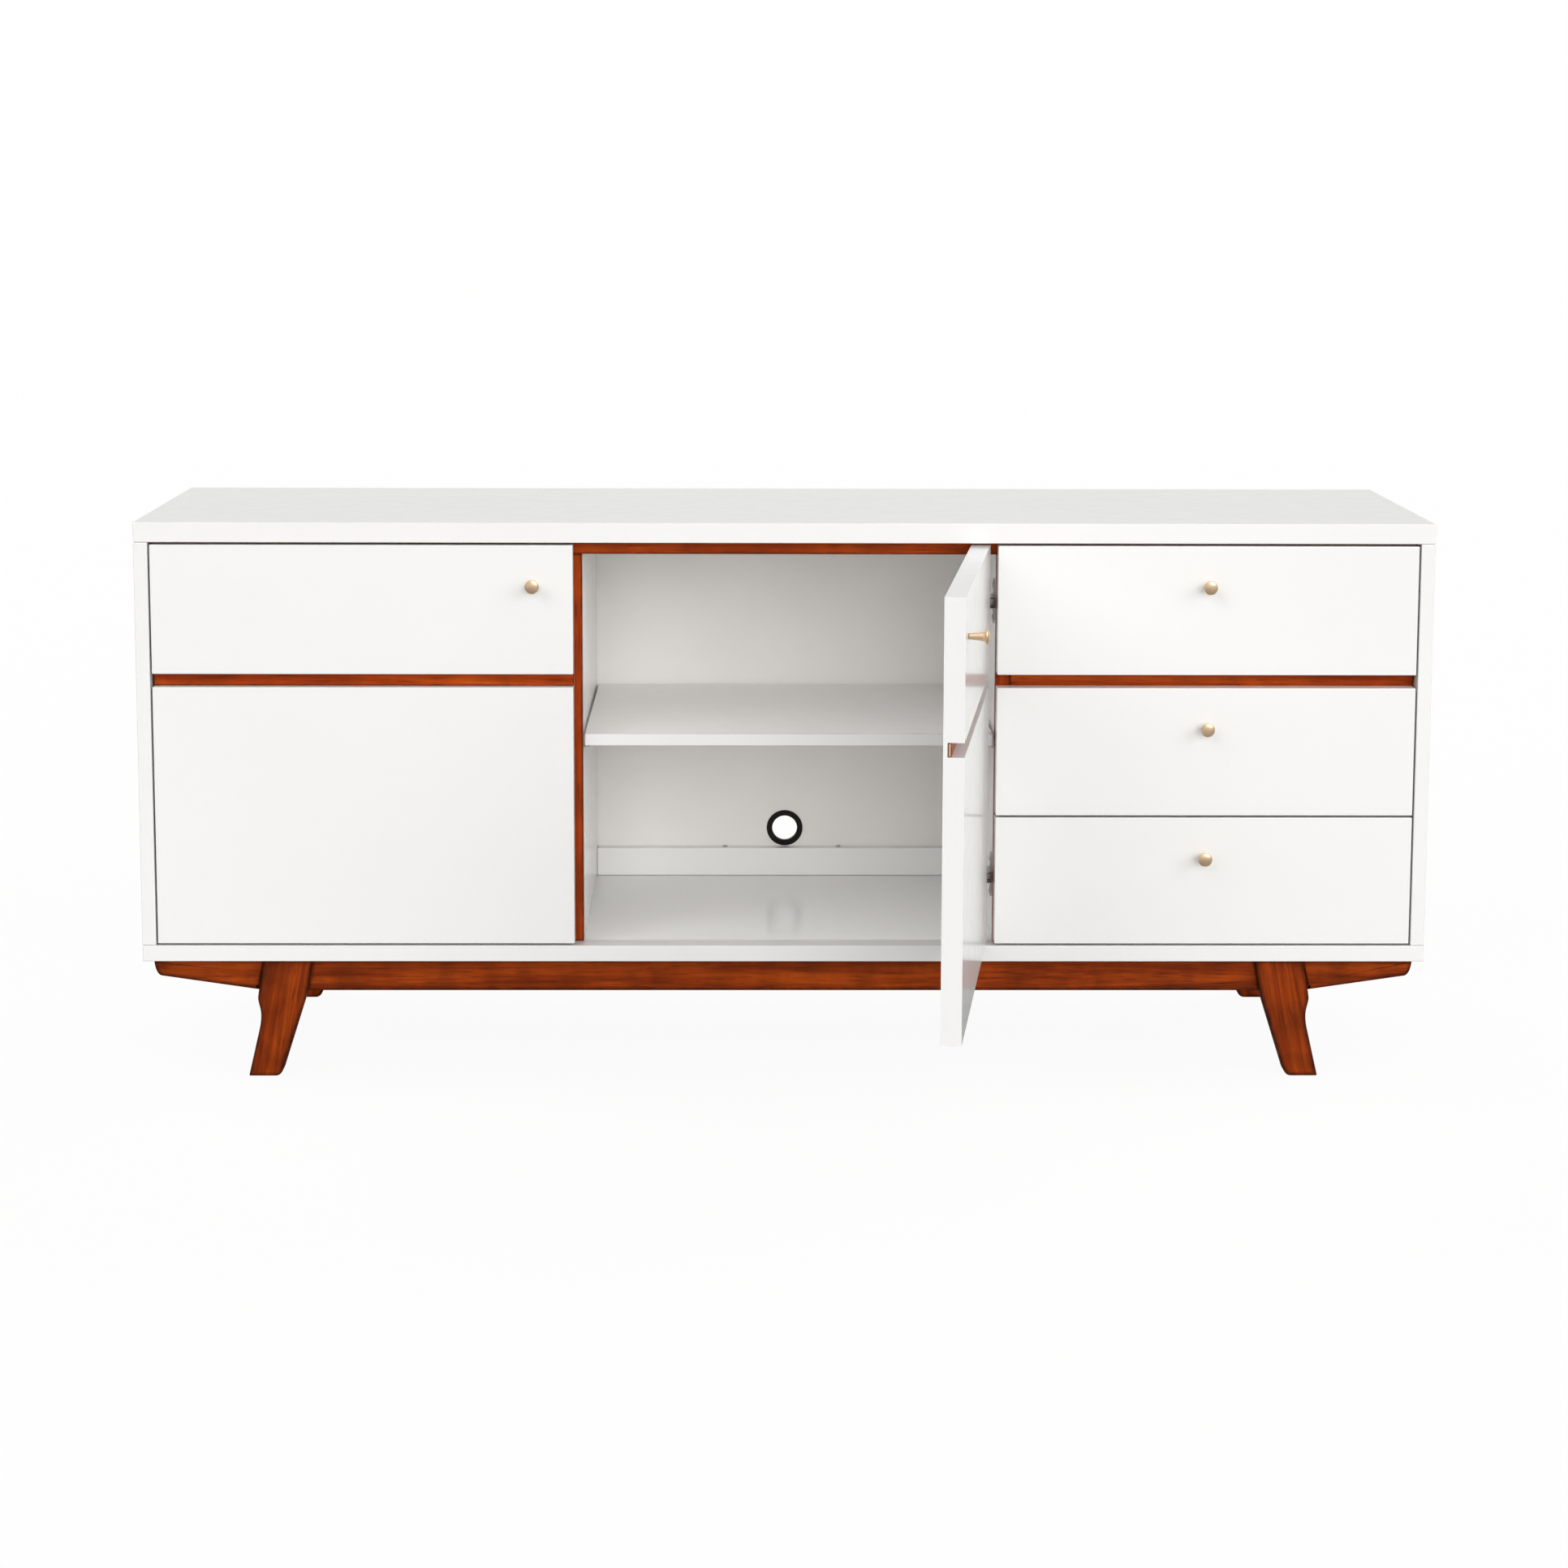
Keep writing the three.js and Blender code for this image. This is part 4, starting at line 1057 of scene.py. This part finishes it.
# ---------- drawers ----------
# A lacquered front on a box of clear-sealed pale wood: two sides, a back and a thin
# bottom panel. The box hangs between its slides, clear of the case.
BOX_EDGE = 0.0009
PALE_LIGHT = (0.70, 0.57, 0.40, 1)
PALE_DARK = (0.55, 0.41, 0.26, 1)


def pale_wood(name, grain):
    finish, tree, shader, place = new_finish(name)
    drawn = add_node(tree, "ShaderNodeMapping", {
        "Vector": place, "Scale": ALONG[grain],
    }).outputs["Vector"]
    rings = add_node(tree, "ShaderNodeTexNoise", {
        "Vector": drawn, "Scale": 60.0, "Detail": 5.0, "Distortion": 0.8,
    })
    ramp = add_node(tree, "ShaderNodeValToRGB", {"Fac": rings.outputs["Fac"]})
    ramp.color_ramp.elements[0].position = 0.32
    ramp.color_ramp.elements[0].color = PALE_DARK
    ramp.color_ramp.elements[1].position = 0.58
    ramp.color_ramp.elements[1].color = PALE_LIGHT
    tree.links.new(ramp.outputs["Color"], shader.inputs["Base Color"])
    fleck = add_node(tree, "ShaderNodeTexNoise", {"Vector": drawn, "Scale": 480.0, "Detail": 2.0})
    dull(tree, shader, fleck, 0.42, 0.55)
    emboss(tree, shader, fleck, strength=0.12, depth=0.0003)
    return finish


PALE = {grain: pale_wood(f"pale_wood_{grain}", grain) for grain in ("x", "y")}
drawers = sorted(body for body in frame["bodies"] if body.startswith("drawer_"))
for drawer in drawers:
    front = f"{drawer}_front"
    hand_over(eased(front, BOARD_EDGE), WHITE, "white_lacquer", drawer, front)
    for panel, grain in (("side_left", "y"), ("side_right", "y"), ("back", "x"), ("bottom", "x")):
        node = f"{drawer}_{panel}"
        hand_over(eased(node, BOX_EDGE), PALE[grain], "drawer_box", drawer, node)


# ---------- drawer slides ----------
# Side slides of rolled, zinc-plated steel. The outer channel is screwed to the case, and
# the inner member, screwed to the drawer, runs in it on two rows of caged steel balls.
MEMBER_SHEET = 0.0012
MEMBER_HALF = 0.0172
MEMBER_DEPTH = 0.0075
MEMBER_CLEAR = 0.0002
MEMBER_FRONT_GAP = 0.003
MEMBER_REAR_GAP = 0.008
ROLLED_EDGE = 0.0004
BALL_RADIUS = 0.0016
BALL_PITCH = 0.008
BALLS_IN_ROW = 10
BALLS_FROM_FRONT = 0.012
BALLS_TOWARD_CASE = 0.001
BALL_CLEAR = 0.0002


def ball_rows():
    tree, given = new_tree("ball_rows", {
        "Ball radius": "Float", "Pitch": "Float", "Balls in row": "Int", "Finish": "Material",
    })
    step = add_node(tree, "ShaderNodeCombineXYZ", {"Y": given["Pitch"]})
    row = add_node(tree, "GeometryNodeMeshLine", {
        "Count": given["Balls in row"], "Offset": step.outputs[0],
    })
    ball = add_node(tree, "GeometryNodeMeshIcoSphere", {
        "Radius": given["Ball radius"], "Subdivisions": 2,
    })
    strung = add_node(tree, "GeometryNodeInstanceOnPoints", {
        "Points": row.outputs[0], "Instance": ball.outputs["Mesh"],
    })
    rows = add_node(tree, "GeometryNodeInstanceOnPoints", {
        "Points": given["Geometry"], "Instance": strung.outputs[0],
    })
    real = add_node(tree, "GeometryNodeRealizeInstances", {"Geometry": rows.outputs[0]})
    smooth = add_node(tree, "GeometryNodeSetShadeSmooth", {0: real.outputs[0]})
    finished = add_node(tree, "GeometryNodeSetMaterial", {
        "Geometry": smooth.outputs[0], "Material": given["Finish"],
    })
    add_node(tree, "NodeGroupOutput", {"Geometry": finished.outputs[0]})
    return tree


BALL_ROWS = ball_rows()
for drawer in drawers:
    number = drawer.removeprefix("drawer_")
    for hand, inward in (("left", 1), ("right", -1)):
        channel = f"slide_{number}_{hand}"
        hand_over(eased(channel, ROLLED_EDGE), ZINC, "zinc_steel", "case", channel)
        channel_low, channel_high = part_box(channel)
        side_low, side_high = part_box(f"{drawer}_side_{hand}")
        box_face = side_low.x if inward > 0 else side_high.x
        middle = (channel_low.z + channel_high.z) / 2
        web = box_face - inward * MEMBER_CLEAR
        lip = web - inward * MEMBER_DEPTH
        half, thick = MEMBER_HALF, MEMBER_SHEET
        outline = [
            (web, middle - half), (web, middle + half), (lip, middle + half),
            (lip, middle + half - thick), (web - inward * thick, middle + half - thick),
            (web - inward * thick, middle - half + thick), (lip, middle - half + thick),
            (lip, middle - half),
        ]
        member = run_outline(f"slide_member_{number}_{hand}", outline, 1,
                             side_low.y + MEMBER_FRONT_GAP, side_high.y - MEMBER_REAR_GAP,
                             ROLLED_EDGE)
        hand_over(member, ZINC, "zinc_steel", drawer)

        rows = bpy.data.meshes.new(f"slide_balls_{number}_{hand}")
        ball_x = (web + lip) / 2 - inward * BALLS_TOWARD_CASE
        reach = half + BALL_RADIUS + BALL_CLEAR
        rows.from_pydata([(ball_x, channel_low.y + BALLS_FROM_FRONT, middle + side * reach)
                          for side in (-1, 1)], [], [])
        balls = laid_out(rows, BALL_ROWS, {
            "Ball radius": BALL_RADIUS, "Pitch": BALL_PITCH, "Balls in row": BALLS_IN_ROW,
            "Finish": NICKEL,
        })
        hand_over(balls, NICKEL, "nickel", "case")
